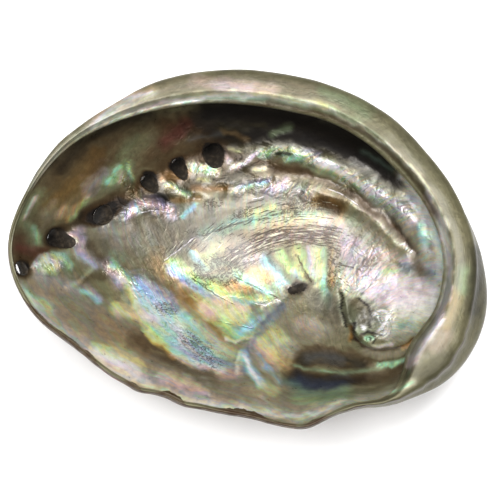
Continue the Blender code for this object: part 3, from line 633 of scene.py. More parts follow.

# Painted shade and painted light: soft darker and lighter washes laid over everything, save the small dark
# wash on the brown spot, which deepens its own colour.
LIGHT_AND_SHADE: Sequence[Mark] = (
    Mark(PaintedLight.DARK, 40, ((110, 238), (160, 236), (210, 236), (280, 236), (345, 245)), 0.26),
    Mark(PaintedLight.DARK, 11, ((150, 202), (180, 190), (215, 180), (250, 176)), 0.25),
    Mark(PaintedLight.DARK, 10, ((232, 150), (270, 148), (312, 152)), 0.25),
    Mark(PaintedLight.DARK, 10, ((82, 222), (116, 220)), 0.25),
    Mark(PaintedLight.DARK, 15, ((318, 300), (340, 312), (364, 320)), 0.34),
    Mark(PaintedLight.LIGHT, 9, ((404, 176), (422, 200), (434, 228), (440, 256), (438, 285), (430, 312)), 0.62),
    Mark(PaintedLight.LIGHT, 9, ((370, 196), (398, 214), (420, 240), (426, 262)), 0.3),
    Mark(PaintedLight.LIGHT, 12, ((102, 226), (120, 226)), 0.2),
    Mark(PaintedLight.LIGHT, 10, ((72, 252), (88, 258)), 0.2),
    Mark(PaintedLight.DARK, 9, ((325, 203), (335, 207)), 0.5),
    Mark(PaintedLight.DARK, 14, ((206, 270), (220, 266), (236, 262)), 0.15),
    Mark(PaintedLight.DARK, 14, ((262, 266), (300, 262), (322, 262)), 0.08),
    Mark(PaintedLight.LIGHT, 14, ((226, 318), (246, 312), (262, 300)), 0.12),
    Mark(PaintedLight.DARK, 18, ((352, 258), (368, 272), (380, 294)), 0.24),
    Mark(PaintedLight.DARK, 16, ((200, 240), (216, 238), (240, 232)), 0.2),
    Mark(PaintedLight.LIGHT, 12, ((120, 240), (140, 240)), 0.15),
    Mark(PaintedLight.DARK, 12, ((225, 182), (250, 190), (290, 196)), 0.15),
    Mark(PaintedLight.DARK, 12, ((412, 374), (432, 372), (446, 358)), 0.2, Face.SHELF),
    Mark(PaintedLight.DARK, 8, ((476, 250), (478, 280), (474, 310)), 0.4, Face.SHELF),
    Mark(PaintedLight.LIGHT, 16, ((356, 276), (386, 282), (416, 286), (412, 312)), 0.3),
    Mark(PaintedLight.LIGHT, 18, ((146, 304), (180, 330), (220, 352)), 0.28),
    Mark(PaintedLight.LIGHT, 7, ((20, 292), (52, 322), (92, 352), (132, 372), (172, 394), (240, 408)), 0.3),
    Mark(PaintedLight.LIGHT, 7, ((240, 408), (300, 418), (345, 404), (395, 393)), 0.3),
    Mark(PaintedLight.LIGHT, 10, ((278, 346), (292, 348)), 0.25),
    Mark(PaintedLight.LIGHT, 5, ((442, 222), (448, 250), (450, 280), (440, 318), (414, 356)), 0.5, Face.SHELF),
    Mark(
        PaintedLight.LIGHT, 6, ((28, 186), (62, 148), (104, 118), (160, 104), (240, 96), (310, 104)),
        0.3, Face.SHELF,
    ),
)


@dataclass
class Camera:
    """The photograph's view, in the shell's own frame."""

    elevation: float = 76.0
    distance: float = 600.0
    focal_px: float = 1924.0
    sensor_mm: float = 36.0
    clip: Span = (0.01, 20.0)

    def axes(self) -> tuple[Array, Array, Array]:
        """The camera's own directions.

        Returns:
            Its right, its up and the way back to it.
        """
        e = math.radians(self.elevation)
        right = np.array([1.0, 0.0, 0.0])
        up = np.array([0.0, math.sin(e), math.cos(e)])
        back = np.array([0.0, -math.cos(e), math.sin(e)])
        return right, up, back

    def pixels(self, points: Array) -> tuple[Array, Array]:
        """Where points fall in the 500 by 500 frame.

        Args:
            points: Places in mm, in the shell's own frame.

        Returns:
            How far across and how far down the frame each lies, in pixels.
        """
        right, up, back = self.axes()
        seen = points - back * self.distance
        depth = -(seen @ back)
        u = FRAME_PX / 2 + self.focal_px * (seen @ right) / depth
        v = FRAME_PX / 2 - self.focal_px * (seen @ up) / depth
        return u, v

    def build(self, place: Matrix) -> None:
        """Make it the scene's camera.

        Args:
            place: How the shell lies, from its own frame in mm to the row's frame in mm.
        """
        right, up, back = (Vector(axis) for axis in self.axes())
        turn = Matrix((right, up, back)).transposed().to_4x4()
        at = Matrix.Translation(back * self.distance)
        data = bpy.data.cameras.new("camera")
        data.sensor_width = self.sensor_mm
        data.lens = self.focal_px * self.sensor_mm / FRAME_PX
        data.clip_start, data.clip_end = self.clip
        camera = add("camera", data)
        world = place @ at @ turn
        world.translation *= MM
        camera.matrix_world = world
        bpy.context.scene.camera = camera


@dataclass
class Sections:
    """The upright sections of the shell, all the way round the middle of its bowl."""

    rim_radius: Sequence[float] = (
        70.9, 68.0, 64.7, 63.0, 61.3, 60.0, 60.1, 61.7, 63.9, 66.0, 70.2, 73.2,
        75.6, 70.8, 62.0, 57.6, 53.1, 51.9, 52.6, 57.4, 58.4, 65.8, 71.2, 71.6,
    )  # fmt: skip
    shelf_width: Sequence[float] = (
        9.5, 9.7, 10.1, 10.5, 10.5, 10.8, 10.5, 9.8, 8.3, 4.8, 2.7, 1.3,
        0.0, 0.0, 0.0, 0.0, 0.0, 0.0, 0.0, 0.0, 0.0, 2.0, 13.0, 10.2,
    )  # fmt: skip
    edge_drop: Sequence[float] = (
        5.0, 3.5, 3.0, 3.0, 3.0, 3.0, 3.0, 2.8, 2.5, 2.0, 1.4, 0.8,
        0.3, 0.3, 0.3, 0.3, 0.3, 0.3, 0.3, 0.3, 0.6, 4.0, 12.0, 8.0,
    )  # fmt: skip
    wall_inset: Sequence[float] = (
        6.5, 4.3, 3.1, 3.0, 2.9, 2.9, 2.7, 2.5, 2.3, 1.8, 1.5, 1.3,
        1.2, 1.2, 1.2, 1.2, 1.2, 1.2, 1.2, 1.2, 1.3, 3.4, 11.8, 8.7,
    )  # fmt: skip
    wall_depth: Sequence[float] = (
        15.0, 13.0, 11.5, 11.0, 11.0, 11.0, 11.0, 10.0, 8.5, 5.5, 3.0, 1.4,
        0.5, 0.4, 0.4, 0.4, 0.4, 0.4, 0.4, 0.4, 0.8, 6.0, 17.0, 16.0,
    )  # fmt: skip
    flank_swell: Sequence[float] = (
        2.8, 0.9, 0.9, 0.9, 0.9, 0.9, 0.8, 0.7, 0.5, 0.3, 0.0, 0.0,
        0.0, 0.0, 0.0, 0.0, 0.0, 0.0, 0.0, 0.0, 0.0, 0.3, 2.8, 5.0,
    )  # fmt: skip
    flank_depth: Sequence[float] = (
        12.0, 10.0, 9.0, 8.0, 8.0, 8.0, 8.0, 8.0, 7.0, 5.0, 3.2, 2.4,
        2.1, 2.1, 2.1, 2.1, 2.1, 2.1, 2.1, 2.1, 2.6, 6.0, 12.0, 12.0,
    )  # fmt: skip
    floor_power: Sequence[float] = (2.7, 2.8, 2.9, 2.9, 2.7, 2.5, 2.4, 2.2, 2.1, 2.1, 2.3, 2.6)
    edge_power: Sequence[float] = (0.68, 0.66, 0.66, 0.66, 0.74, 0.88, 1.0, 1.2, 1.3, 1.3, 1.15, 0.8)
    lip_lobes: Sequence[tuple[float, float, float]] = (
        (232.0, 3.5, 0.8), (247.0, 4.0, 0.7), (288.0, 5.0, 0.6), (305.0, 4.0, -0.5),
    )  # fmt: skip
    bowl_depth: float = 33.0
    floor_thickness: float = 3.0
    crest_inset: float = 0.78
    least_crest: float = 0.5
    edge_thickness: float = 1.7
    least_edge: float = 0.25
    lip_roll: float = 0.94
    rim_roll: float = 2.6
    shelf_full_width: float = 6.0
    least_wall: float = 0.1
    nose_share: float = 0.8
    corner_share: float = 0.5
    under_leave: float = 0.7
    climb_handles: Span = (0.4, 0.3)
    shoulder_handles: Span = (0.6, 0.3)
    flank_handles: Span = (0.5, 0.4)
    fine_steps: int = 90
    floor_rows: int = 104
    under_rows: int = 10
    edge_rows: int = 4
    top_rows: int = 20
    flank_rows: int = 8
    back_rows: int = 44

    @property
    def rows(self) -> int:
        """Rows from the bowl's middle to the middle of the back."""
        return self.inner_rows + self.top_rows + self.flank_rows + self.back_rows

    @property
    def inner_rows(self) -> int:
        """Rows of the floor, of the shelf's underside and of its edge."""
        return self.floor_rows + self.under_rows + self.edge_rows

    @property
    def back_start(self) -> int:
        """The row where the back begins."""
        return self.rows - self.back_rows

    def rim(self, azimuth: Array) -> Array:
        """Reach of the rim from the bowl's middle, with the growing lip's lobes.

        Args:
            azimuth: Azimuths in degrees.

        Returns:
            One radius for each azimuth.
        """
        reach = around(self.rim_radius, azimuth)
        for at, width, height in self.lip_lobes:
            reach = reach + hill((np.asarray(azimuth) - at + 180.0) % 360.0 - 180.0, height, width)
        return reach

    def bezier(self, start: Line, leave: Line, arrive: Line, end: Line) -> Array:
        """Points of a cubic curve, without its last point.

        Args:
            start: Where it starts.
            leave: The handle that it leaves its start towards.
            arrive: The handle that it reaches its end from.
            end: Where it ends.

        Returns:
            Pairs of radius and height.
        """
        t = np.linspace(0.0, 1.0, self.fine_steps, endpoint=False)[:, None]
        a, b, c, d = (np.array(point, float) for point in (start, leave, arrive, end))
        return (1 - t) ** 3 * a + 3 * (1 - t) ** 2 * t * b + 3 * (1 - t) * t**2 * c + t**3 * d

    def bowl(self, radius: float, wall: float, depth: float, powers: tuple[float, float]) -> Array:
        """Profile of a bowl from its middle to its widest place.

        Args:
            radius: Its reach.
            wall: Its depth at that reach.
            depth: Its depth in the middle.
            powers: How square its floor is, and how steep its wall.

        Returns:
            Pairs of radius and height.
        """
        u = np.linspace(0.0, math.pi / 2, self.fine_steps)
        out = radius * np.sin(u) ** (2 / powers[0])
        height = -wall - (depth - wall) * np.cos(u) ** (2 * powers[1])
        return np.stack([out, height], axis=1)

    @staticmethod
    def evenly(points: Array, rows: int) -> Array:
        """The same line with its points spread evenly along it.

        Args:
            points: The line.
            rows: How many stretches it gets.

        Returns:
            Its rows + 1 points.
        """
        lengths = np.concatenate([[0.0], np.cumsum(np.hypot(*np.diff(points, axis=0).T))])
        wanted = np.linspace(0.0, lengths[-1], rows + 1)
        return np.stack([np.interp(wanted, lengths, points[:, axis]) for axis in (0, 1)], axis=1)

    def section(self, azimuth: float) -> Array:
        """The upright section at an azimuth.

        Args:
            azimuth: Its azimuth in degrees.

        Returns:
            Pairs of radius and height, one more than there are rows.
        """

        def value(stations: Sequence[float]) -> float:
            """What the stations say at this azimuth."""
            return float(around(stations, azimuth))

        rim = float(self.rim(azimuth))
        shelf = max(value(self.shelf_width), 0.0)
        full = float(smooth_step(0.0, self.shelf_full_width, shelf))
        drop = value(self.edge_drop)
        wall = rim - value(self.wall_inset)
        wall_depth = max(value(self.wall_depth), drop + self.least_wall)
        swell = rim + value(self.flank_swell)
        flank_depth = value(self.flank_depth)
        powers = value(self.floor_power), value(self.edge_power)

        edge = min(rim - shelf, wall)
        thickness = self.least_edge + (self.edge_thickness - self.least_edge) * full
        under = max(min(-drop - thickness, -wall_depth * 0.02), -wall_depth)
        crest = rim - max(shelf * self.crest_inset, self.least_crest)
        roll = -(self.lip_roll + (self.rim_roll - self.lip_roll) * full)

        floor = self.bowl(wall, wall_depth, self.bowl_depth, powers)
        rise = under + wall_depth
        corner = (edge + self.corner_share * (wall - edge), under)
        leave = (wall, -wall_depth + self.under_leave * rise)
        beneath = self.bezier((wall, -wall_depth), leave, corner, (edge, under))
        nose = edge - thickness * self.nose_share
        lip = self.bezier((edge, under), (nose, under), (nose, -drop), (edge, -drop))
        slope = crest - edge
        leave, arrive = self.climb_handles
        leave, arrive = (edge + leave * slope, -drop), (crest - arrive * slope, 0)
        climb = self.bezier((edge, -drop), leave, arrive, (crest, 0))
        leave, arrive = self.shoulder_handles
        leave, arrive = (crest + leave * (rim - crest), 0), (rim, roll * arrive)
        shoulder = self.bezier((crest, 0), leave, arrive, (rim, roll))
        back = self.bowl(swell, flank_depth, self.bowl_depth + self.floor_thickness, powers)[::-1]
        rising = (back[0] - back[1]) / np.linalg.norm(back[0] - back[1])
        leave, arrive = self.flank_handles
        leave, arrive = (rim, leave * (roll - flank_depth)), back[0] + rising * arrive * (flank_depth + roll)
        flank = self.bezier((rim, roll), leave, arrive, back[0])
        stretches = (
            (floor, floor[-1], self.floor_rows),
            (beneath, (edge, under), self.under_rows),
            (lip, (edge, -drop), self.edge_rows),
            (np.concatenate([climb, shoulder]), (rim, roll), self.top_rows),
            (flank, (swell, -flank_depth), self.flank_rows),
        )
        rows = [self.evenly(np.vstack([points, end]), count)[:-1] for points, end, count in stretches]
        return np.concatenate([*rows, self.evenly(back, self.back_rows)])


@dataclass
class Coil:
    """The coil and the spiral by which the shell grew about it."""

    x: float = 37.5
    y: float = -22.7
    rate: float = 0.54
    hole_spiral: float = 3.10
    sway: tuple[float, float, float] = (0.09, 117.0, 22.0)
    steps: int = 420
    most_turn: float = 11.0

    def polar(self, x: Array, y: Array) -> tuple[Array, Array]:
        """Distance and azimuth in degrees about the coil."""
        dx, dy = x - self.x, y - self.y
        return np.hypot(dx, dy) + 1e-6, np.degrees(np.arctan2(dy, dx))

    def row_start(self, azimuth: Array) -> Array:
        """Where the spiral of the holes starts, as the log of its radius at azimuth 0."""
        height, at, width = self.sway
        return self.hole_spiral + hill((np.asarray(azimuth) - at + 180.0) % 360.0 - 180.0, height, width)

    def row_offset(self, x: Array, y: Array) -> tuple[Array, Array]:
        """Where places lie beside the row of holes.

        Args:
            x: Places in plan.
            y: Places in plan.

        Returns:
            Their distance from the row, plus towards the shelf, and their azimuth about the coil.
        """
        radius, azimuth = self.polar(x, y)
        offset = np.log(radius) - self.rate * np.radians(azimuth) - self.row_start(azimuth)
        return offset * radius, azimuth

    def on_row(self, azimuth: float) -> tuple[float, float]:
        """A place on the row of holes.

        Args:
            azimuth: Its azimuth about the coil in degrees.

        Returns:
            Its place in plan.
        """
        turn = math.radians(azimuth)
        radius = math.exp(float(self.row_start(azimuth)) + self.rate * turn)
        return self.x + radius * math.cos(turn), self.y + radius * math.sin(turn)

    def growth(self, x: Array, y: Array, sections: Sections) -> tuple[Array, Array]:
        """How long ago each place was the lip, and which rib it lies on.

        Args:
            x: Places in plan.
            y: Places in plan.
            sections: The sections, for the rim.

        Returns:
            The turn in radians since each place was the lip, and the azimuth in radians of its rib.
        """
        azimuths = np.arange(0.0, 360.0, 0.5)
        reach = sections.rim(azimuths)
        around_bowl = np.radians(azimuths)
        radius, turn = self.polar(reach * np.cos(around_bowl), reach * np.sin(around_bowl))
        turn = np.radians(turn) % (2 * math.pi)
        order = np.argsort(turn)
        turns, reaches = turn[order], np.log(radius[order])
        far, azimuth = self.polar(x, y)
        start, height = np.radians(azimuth), np.log(far)
        ages = np.linspace(0.0, self.most_turn, self.steps)
        found = np.full(np.shape(x), ages[-1])
        left = np.arange(len(x))
        last = np.interp(start % (2 * math.pi), turns, reaches, period=2 * math.pi) - height
        for age, following in zip(ages, ages[1:]):
            lip = np.interp((start[left] + following) % (2 * math.pi), turns, reaches, period=2 * math.pi)
            above = lip - self.rate * following - height[left]
            crossed = above < 0
            share = np.clip(last / np.maximum(last - above, 1e-9), 0.0, 1.0)
            found[left[crossed]] = (age + (following - age) * share)[crossed]
            left, last = left[~crossed], above[~crossed]
        return found, start + found


@dataclass(frozen=True)
class Hole:
    """A breathing hole, with the tube round it on the back.

    It leans from square to the wall by so many degrees. Its stretch is along the row of holes, and the
    tube's shift is out from the bowl's middle.
    """

    at: tuple[float, float]
    radius: float
    stretch: float
    lean: float
    tube_height: float
    tube_shift: float


@dataclass(frozen=True)
class Ridge:
    """A ridge along a line in plan, or a furrow where its height is below nought."""

    line: Line
    height: float
    width: float


@dataclass
class Relief:
    """What stands up from and sinks into both faces, in plan."""

    coil: Coil
    holes: Sequence[Hole] = (
        Hole((-71.1, -5.3), 2.4, 1.0, 13.0, 2.4, 1.4),
        Hole((-60.6, 7.4), 3.2, 1.0, 36.0, 2.6, 2.4),
        Hole((-47.7, 17.0), 2.8, 1.45, 27.0, 2.8, 2.4),
        Hole((-32.6, 28.9), 2.35, 1.0, 37.0, 3.2, 2.9),
        Hole((-23.5, 34.9), 2.5, 1.0, 40.0, 3.2, 3.4),
        Hole((-11.9, 39.7), 3.0, 1.18, 43.0, 3.2, 3.7),
    )
    hole_depth: float = -0.7
    hole_spread: float = 1.5
    tube_slope: Span = (0.5, 3.2)
    closed_turns: Sequence[int] = tuple(range(119, 20, -8))
    closed_knob: Hill = (1.5, 3.0)
    row_fade_turns: Span = (15.0, 45.0)
    row_open_turns: Span = (105.0, 128.0)
    row_furrow: Hill = (-1.7, 4.2)
    row_swelling: Hill = (1.4, 3.6)
    row_groove: Hill = (-1.2, 4.0)
    row_ridge: Hill = (2.3, 4.6)
    ledge: Ridge = Ridge(
        (
            (-66.0, 0.0), (-58.0, 8.0), (-48.0, 16.0), (-38.0, 21.8),
            (-26.0, 24.5), (-12.0, 29.0), (0.0, 31.0),
        ),
        0.9, 7.0,
    )  # fmt: skip
    coil_step: Line = (
        (29.8, -6.0), (30.7, -12.0), (31.4, -16.0), (33.2, -20.0),
        (36.4, -24.2), (40.0, -26.8), (48.0, -26.8),
    )  # fmt: skip
    callus: Ridge = Ridge(
        ((22.0, -22.6), (30.8, -25.4), (35.2, -29.0), (38.6, -32.0), (43.0, -33.0), (50.0, -31.8)), 1.6, 3.2
    )
    valley: Ridge = Ridge(((12.6, -39.0), (25.0, -41.5), (37.7, -40.5), (47.7, -38.1)), -2.2, 5.0)
    fold: Ridge = Ridge(
        ((8.8, -11.7), (2.6, -18.4), (-1.9, -25.5), (-4.3, -34.0), (-1.9, -41.1), (2.2, -44.5)), 1.1, 9.0
    )
    inner_ridge: Ridge = Ridge(
        ((20.0, 28.6), (30.8, 24.8), (38.0, 20.4), (43.8, 14.4), (51.9, 6.1)), 0.7, 2.6
    )
    inner_groove: Ridge = Ridge(
        ((10.0, 34.0), (20.0, 33.0), (33.0, 28.6), (43.5, 20.4), (54.0, 6.0)), -1.0, 3.0
    )
    step_softness: float = 1.9
    cup: Hill = (-2.8, 10.0)
    cup_rim: Hill = (1.4, 5.0)
    cup_softness: float = 0.9
    dome: tuple[float, float] = (34.8, -15.6)
    dome_rise: Hill = (1.6, 2.8)
    dome_stretch: float = 0.6
    pit: tuple[float, float] = (15.1, -5.0)
    pit_sink: Hill = (-0.8, 1.8)
    bulge: tuple[float, float] = (73.0, -11.0)
    bulge_rise: Hill = (3.2, 8.0)
    bulge_stretch: float = 2.0
    deepest: tuple[float, float] = (16.0, 8.0)
    deepest_sink: Hill = (2.0, 30.0)
    apex: Hill = (5.2, 9.0)
    whorl: Hill = (2.4, 11.0)
    whorl_reach: float = 15.0
    lump_height: float = 0.42
    ledge_lumps: float = 0.30
    swell_height: float = 0.13
    growth_folds: float = 0.05
    back_folds: float = 0.9
    rib_height: float = 0.55
    line_height: float = 0.12
    crust_height: float = 0.16
    rim_waves: float = 0.16
    lip_chips: float = 0.30
    grain: Grain = field(default_factory=lambda: Grain(11))

    def row_strength(self, azimuth: Array) -> Array:
        """1 along the row of holes, fading out towards the coil."""
        return smooth_step(*self.row_fade_turns, azimuth)

    def sink(self, x: Array, y: Array) -> Array:
        """How much lower the bowl lies about its deepest place."""
        return hill(np.hypot(x - self.deepest[0], y - self.deepest[1]), *self.deepest_sink)

    def inside(self, x: Array, y: Array, age: Array) -> Array:
        """Height laid on the pearly face.

        Args:
            x: Places in plan.
            y: Places in plan.
            age: How long ago each place was the lip.

        Returns:
            One height for each place.
        """
        offset, azimuth = self.coil.row_offset(x, y)
        strength = self.row_strength(azimuth)
        open_row = smooth_step(*self.row_open_turns, azimuth)
        swelling = hill(offset + 1.0, *self.row_swelling) + hill(offset - 6.5, *self.row_groove)
        height = strength * (open_row * hill(offset, *self.row_furrow) + (1 - open_row) * swelling)
        for hole in self.holes:
            gap = np.hypot(x - hole.at[0], y - hole.at[1])
            height = height + hill(gap, self.hole_depth, hole.radius * self.hole_spread)

        gap, _ = line_distance(x, y, self.coil_step)
        in_cup = smooth_step(-self.cup_softness, self.cup_softness, gap)
        far, _ = self.coil.polar(x, y)
        height = height + in_cup * hill(far, *self.cup) + (1 - in_cup) * hill(gap, *self.cup_rim)
        gap = np.hypot(x - self.dome[0], (y - self.dome[1]) * self.dome_stretch)
        height = height + hill(gap, *self.dome_rise)
        height = height + hill(np.hypot(x - self.pit[0], y - self.pit[1]), *self.pit_sink)
        for ridge in (self.callus, self.valley, self.inner_ridge, self.inner_groove):
            gap, _ = line_distance(x, y, ridge.line)
            height = height + hill(gap, ridge.height, ridge.width)
        soft = self.step_softness
        for step, side in ((self.fold, 1.0), (self.ledge, -1.0)):
            gap, _ = line_distance(x, y, step.line)
            height = height + smooth_step(-soft, soft, side * gap) * hill(gap, step.height, step.width)
        return height + self.hammering(x, y, offset, azimuth, age)

    def hammering(self, x: Array, y: Array, offset: Array, azimuth: Array, age: Array) -> Array:
        """The low lumps of the nacre: strongest along the closed holes, faint elsewhere.

        Args:
            x: Places in plan.
            y: Places in plan.
            offset: Their distance from the row of holes.
            azimuth: Their azimuth about the coil in degrees.
            age: How long ago each place was the lip.

        Returns:
            One height for each place.
        """
        lumps = self.grain.at(x, y, 4.6) + 0.6 * self.grain.at(x + 31.0, y - 17.0, 2.4)
        closed = self.row_strength(azimuth) * (1 - smooth_step(135.0, 160.0, azimuth))
        along_row = closed * hill(offset + 3.0, 1.0, 8.0)
        gap, _ = line_distance(x, y, self.ledge.line)
        along_ledge = hill(gap + 2.0, 1.0, 5.0)
        everywhere = self.grain.at(x - 5.0, y + 9.0, 7.5)
        folds = np.sin(age * 26.0 + 1.5 * self.grain.at(x, y, 18.0))
        lumps = lumps * (self.lump_height * along_row + self.ledge_lumps * along_ledge)
        return lumps + self.swell_height * everywhere + self.growth_folds * folds

    def outside(self, x: Array, y: Array, age: Array, rib: Array) -> Array:
        """Height laid on the rough back.

        Args:
            x: Places in plan.
            y: Places in plan.
            age: How long ago each place was the lip.
            rib: The rib that each place lies on.

        Returns:
            One height for each place.
        """
        offset, azimuth = self.coil.row_offset(x, y)
        height = self.row_strength(azimuth) * hill(offset, *self.row_ridge)
        top, foot = self.tube_slope
        for hole in self.holes:
            out = 1 + hole.tube_shift / math.hypot(*hole.at)
            gap = np.hypot(x - hole.at[0] * out, y - hole.at[1] * out)
            sloping = smooth_step(hole.radius - top, hole.radius + foot, gap)
            height = height + hole.tube_height * (1 - sloping)
        for closed in self.closed_turns:
            place = self.coil.on_row(closed)
            height = height + hill(np.hypot(x - place[0], y - place[1]), *self.closed_knob)
        radius, azimuth = self.coil.polar(x, y)
        turn = np.radians(azimuth)
        whorl = (np.log(radius) - self.coil.rate * turn) / (2 * math.pi * self.coil.rate)
        height = height + hill(radius, *self.apex)
        gap = np.hypot(x - self.bulge[0], (y - self.bulge[1]) / self.bulge_stretch)
        height = height + hill(gap, *self.bulge_rise)
        turned = np.sin(math.pi * (whorl % 1.0)) ** 2
        height = height + turned * hill(radius - self.whorl_reach, *self.whorl)
        folds = np.sin(7.0 * (np.log(radius) + 0.6 * turn))
        height = height + self.back_folds * folds * smooth_step(14.0, 34.0, radius)
        clear = smooth_step(10.0, 24.0, radius)
        ribs = np.abs(np.sin(rib * 17.0 + 0.6 * self.grain.at(x, y, 15.0)))
        lines = np.sin(age * 60.0 + 3.0 * self.grain.at(x, y, 22.0))
        crust = self.grain.at(x, y, 3.4) + 0.7 * self.grain.at(x + 50.0, y, 1.9)
        growth = self.rib_height * ribs**1.5 + self.line_height * lines
        return height + clear * growth + self.crust_height * crust

    def on_rim(self, x: Array, y: Array, row: Array, sections: Sections) -> Array:
        """The shelf's and the rim's slight waves, and the growing lip's chips.

        Args:
            x: Places in plan.
            y: Places in plan.
            row: The row of the section that each place lies on.
            sections: The sections, for their rows.

        Returns:
            One height for each place.
        """
        start, end = sections.inner_rows, sections.inner_rows + sections.top_rows
        share = smooth_step(start, start + 5, row) * (1 - smooth_step(end - 2, end + 4, row))
        waves = self.grain.at(x, y + 40.0, 13.0) + 0.5 * self.grain.at(x, y, 5.0)
        chips = self.grain.at(x + 60.0, y, 3.2) + 0.6 * self.grain.at(x, y + 60.0, 1.7)
        on_lip = hill(row - end, 1.0, 5.0) * smooth_step(-18.0, -34.0, y)
        return share * self.rim_waves * waves + on_lip * self.lip_chips * chips


@dataclass
class Paint:
    """The colours and textures laid over the nacre, with painted shade, painted highlights and washes of
    painted light among them.
    """

    grain: Grain = field(default_factory=lambda: Grain(23))
    wander: float = 1.5
    broad_wander: float = 9.0
    fine_wander: float = 4.0
    ragged: float = 0.35
    hair: float = 9.0
    hair_stretch: float = 3.0
    hair_step: float = 3.7
    # How much the shelf's top is dimmed: painted shade against the stronger light that falls on it
    shelf_shade_factor: float = 0.74
    fade: float = 1.5
    crisp_end: float = 1.1
    hole_places: Sequence[tuple[Line, float]] = (
        (((22, 268), (23, 268)), 6.5),
        (((55, 239), (57, 238)), 9.0),
        (((92, 218), (101, 214), (114, 208)), 6.5),
        (((149, 181), (150, 180)), 7.5),
        (((177, 166), (179, 165)), 8.0),
        (((210, 152), (216, 151)), 9.0),
    )

    def hole_rims(self) -> list[Mark]:
        """The brown ring round each breathing hole, and its inside painted near black as shade."""
        rings = [Mark(Tone.UMBER, width + 3, line, 0.85, crisp=0.5) for line, width in self.hole_places]
        # The holes' insides painted near black as shade
        painted_hole_shade = [Mark(Tone.SHADE, width, line, 1.0, crisp=0.8) for line, width in self.hole_places]
        return rings + painted_hole_shade

    def marks(self) -> list[Mark]:
        """Every mark, in the order it is laid."""
        shelf = [replace(mark, face=Face.SHELF) for mark in SHELF]
        regions = (
            LOWER_WALL, FLOOR, FOLD, COIL, UPPER_WALL_SHADE, LEFT_END, HOLE_ROW, SCAR, shelf, LIGHT_AND_SHADE,
            self.hole_rims(),
        )  # fmt: skip
        return [mark for region in regions for mark in region]

    def lay(self, u: Array, v: Array, faces: dict[Face, Array]) -> tuple[Array, Array]:
        """Lay every mark on the shell's vertices.

        Args:
            u: Where each vertex falls across the photograph's frame.
            v: Where it falls down the frame.
            faces: How much each vertex belongs to each face.

        Returns:
            The nacre's colour at each vertex, and the amount of each fine texture.
        """
        colour = np.tile(Tone.OLIVE.value, (len(u), 1))
        texture = np.zeros((len(u), len(Detail)))
        broad, fine = self.broad_wander, self.fine_wander
        across = u + self.wander * (self.grain.at(u, v, broad) + 0.5 * self.grain.at(u + 70, v, fine))
        down = v + self.wander * (self.grain.at(u, v + 90, broad) + 0.5 * self.grain.at(u, v + 150, fine))
        for mark in self.marks():
            reach = mark.width * self.fade / (1 - self.ragged)
            left, top = np.min(mark.line, axis=0) - reach
            right, bottom = np.max(mark.line, axis=0) + reach
            near = np.flatnonzero((across > left) & (across < right) & (down > top) & (down < bottom))
            gap, share = line_distance(across[near], down[near], mark.line)
            length = math.dist(mark.line[0], mark.line[-1])
            start = self.hair_step * sum(mark.line[0])
            brush = self.grain.at(share * length + start, gap * self.hair_stretch, self.hair)
            spread = np.abs(gap) / mark.width * (1 + self.ragged * brush)
            end = self.fade + (self.crisp_end - self.fade) * mark.crisp
            cover = mark.strength * faces[mark.face][near] * (1 - smooth_step(mark.crisp, end, spread))
            if isinstance(mark.what, Detail):
                kept = texture[near, mark.what.value]
                texture[near, mark.what.value] = np.maximum(kept, cover)
            # Painted light and painted shade: a wash towards white and towards black, which keeps the hue
            elif isinstance(mark.what, PaintedLight):
                colour[near] += (mark.what.value - colour[near]) * cover[:, None]
            else:
                tones = mark.what if isinstance(mark.what, tuple) else (mark.what,)
                colours = np.array([tone.value for tone in tones])
                place = (gap / mark.width + 1) / 2 * len(tones) - 0.5 + 0.5 * brush
                mixed = [np.interp(place, np.arange(len(tones)), channel) for channel in colours.T]
                colour[near] += (np.stack(mixed, axis=1) - colour[near]) * cover[:, None]
        # The shelf's top is dimmed as painted shade, against the stronger light that falls on it
        dim = 1 - (1 - self.shelf_shade_factor) * faces[Face.SHELF]
        return to_light(colour) * dim[:, None], texture


@dataclass
class Threads:
    """Thin dark lines in the nacre, and thin bright lines painted as highlights along its ridges, in the
    photograph's frame.
    """

    dark: Sequence[Line] = (
        ((232, 251), (244, 243), (257, 236), (270, 231), (283, 227), (309, 225), (330, 227), (344, 229)),
        ((234, 254), (250, 245), (268, 238), (290, 233), (318, 232), (340, 233)),
        ((240, 259), (256, 250), (276, 243), (300, 239), (330, 238), (342, 240)),
        ((240, 266), (252, 262), (270, 253), (289, 246), (310, 244), (330, 243)),
        ((196, 276), (202, 266), (212, 260), (222, 258)),
        ((192, 278), (206, 288), (220, 297), (232, 303)),
        ((235, 277), (250, 284), (266, 292), (277, 297)),
        ((296, 250), (300, 262), (306, 273), (312, 282)),
        ((336, 264), (348, 266), (360, 270)),
        ((276, 298), (268, 300), (262, 303)),
        ((222, 322), (236, 325), (252, 328)),
        ((250, 203), (262, 200), (272, 197)),
        ((218, 231), (232, 225), (250, 220), (268, 218)),
        ((222, 258), (232, 252), (226, 246), (219, 242)),
        ((188, 232), (204, 236), (218, 230)),
    )
    # Painted highlights: thin bright lines along the ridges
    light: Sequence[Line] = (
        ((140, 213), (150, 211), (160, 211), (172, 213)),
        ((165, 260), (180, 249), (194, 238)),
        ((245, 201), (258, 198), (272, 195)),
        ((256, 303), (266, 305), (276, 299), (280, 301)),
        ((330, 189), (345, 196), (356, 204)),
    )
    reach: float = 4.0

    def gaps(self, u: Array, v: Array, lines: Sequence[Line]) -> Array:
        """How far each vertex lies from the nearest line.

        Args:
            u: Where each vertex falls across the photograph's frame.
            v: Where it falls down the frame.
            lines: The lines.

        Returns:
            For each vertex the distance in pixels with its side, how near that is from 0 to 1, and 0.
        """
        nearest = np.full(len(u), FAR)
        for line in lines:
            low, high = np.min(line, axis=0) - 3 * self.reach, np.max(line, axis=0) + 3 * self.reach
            close = np.flatnonzero((u > low[0]) & (u < high[0]) & (v > low[1]) & (v < high[1]))
            gap, _ = line_distance(u[close], v[close], line)
            nearest[close] = np.where(np.abs(gap) < np.abs(nearest[close]), gap, nearest[close])
        near = np.exp(-((nearest / self.reach) ** 2))
        return np.stack([nearest, near, np.zeros(len(u))], axis=1)


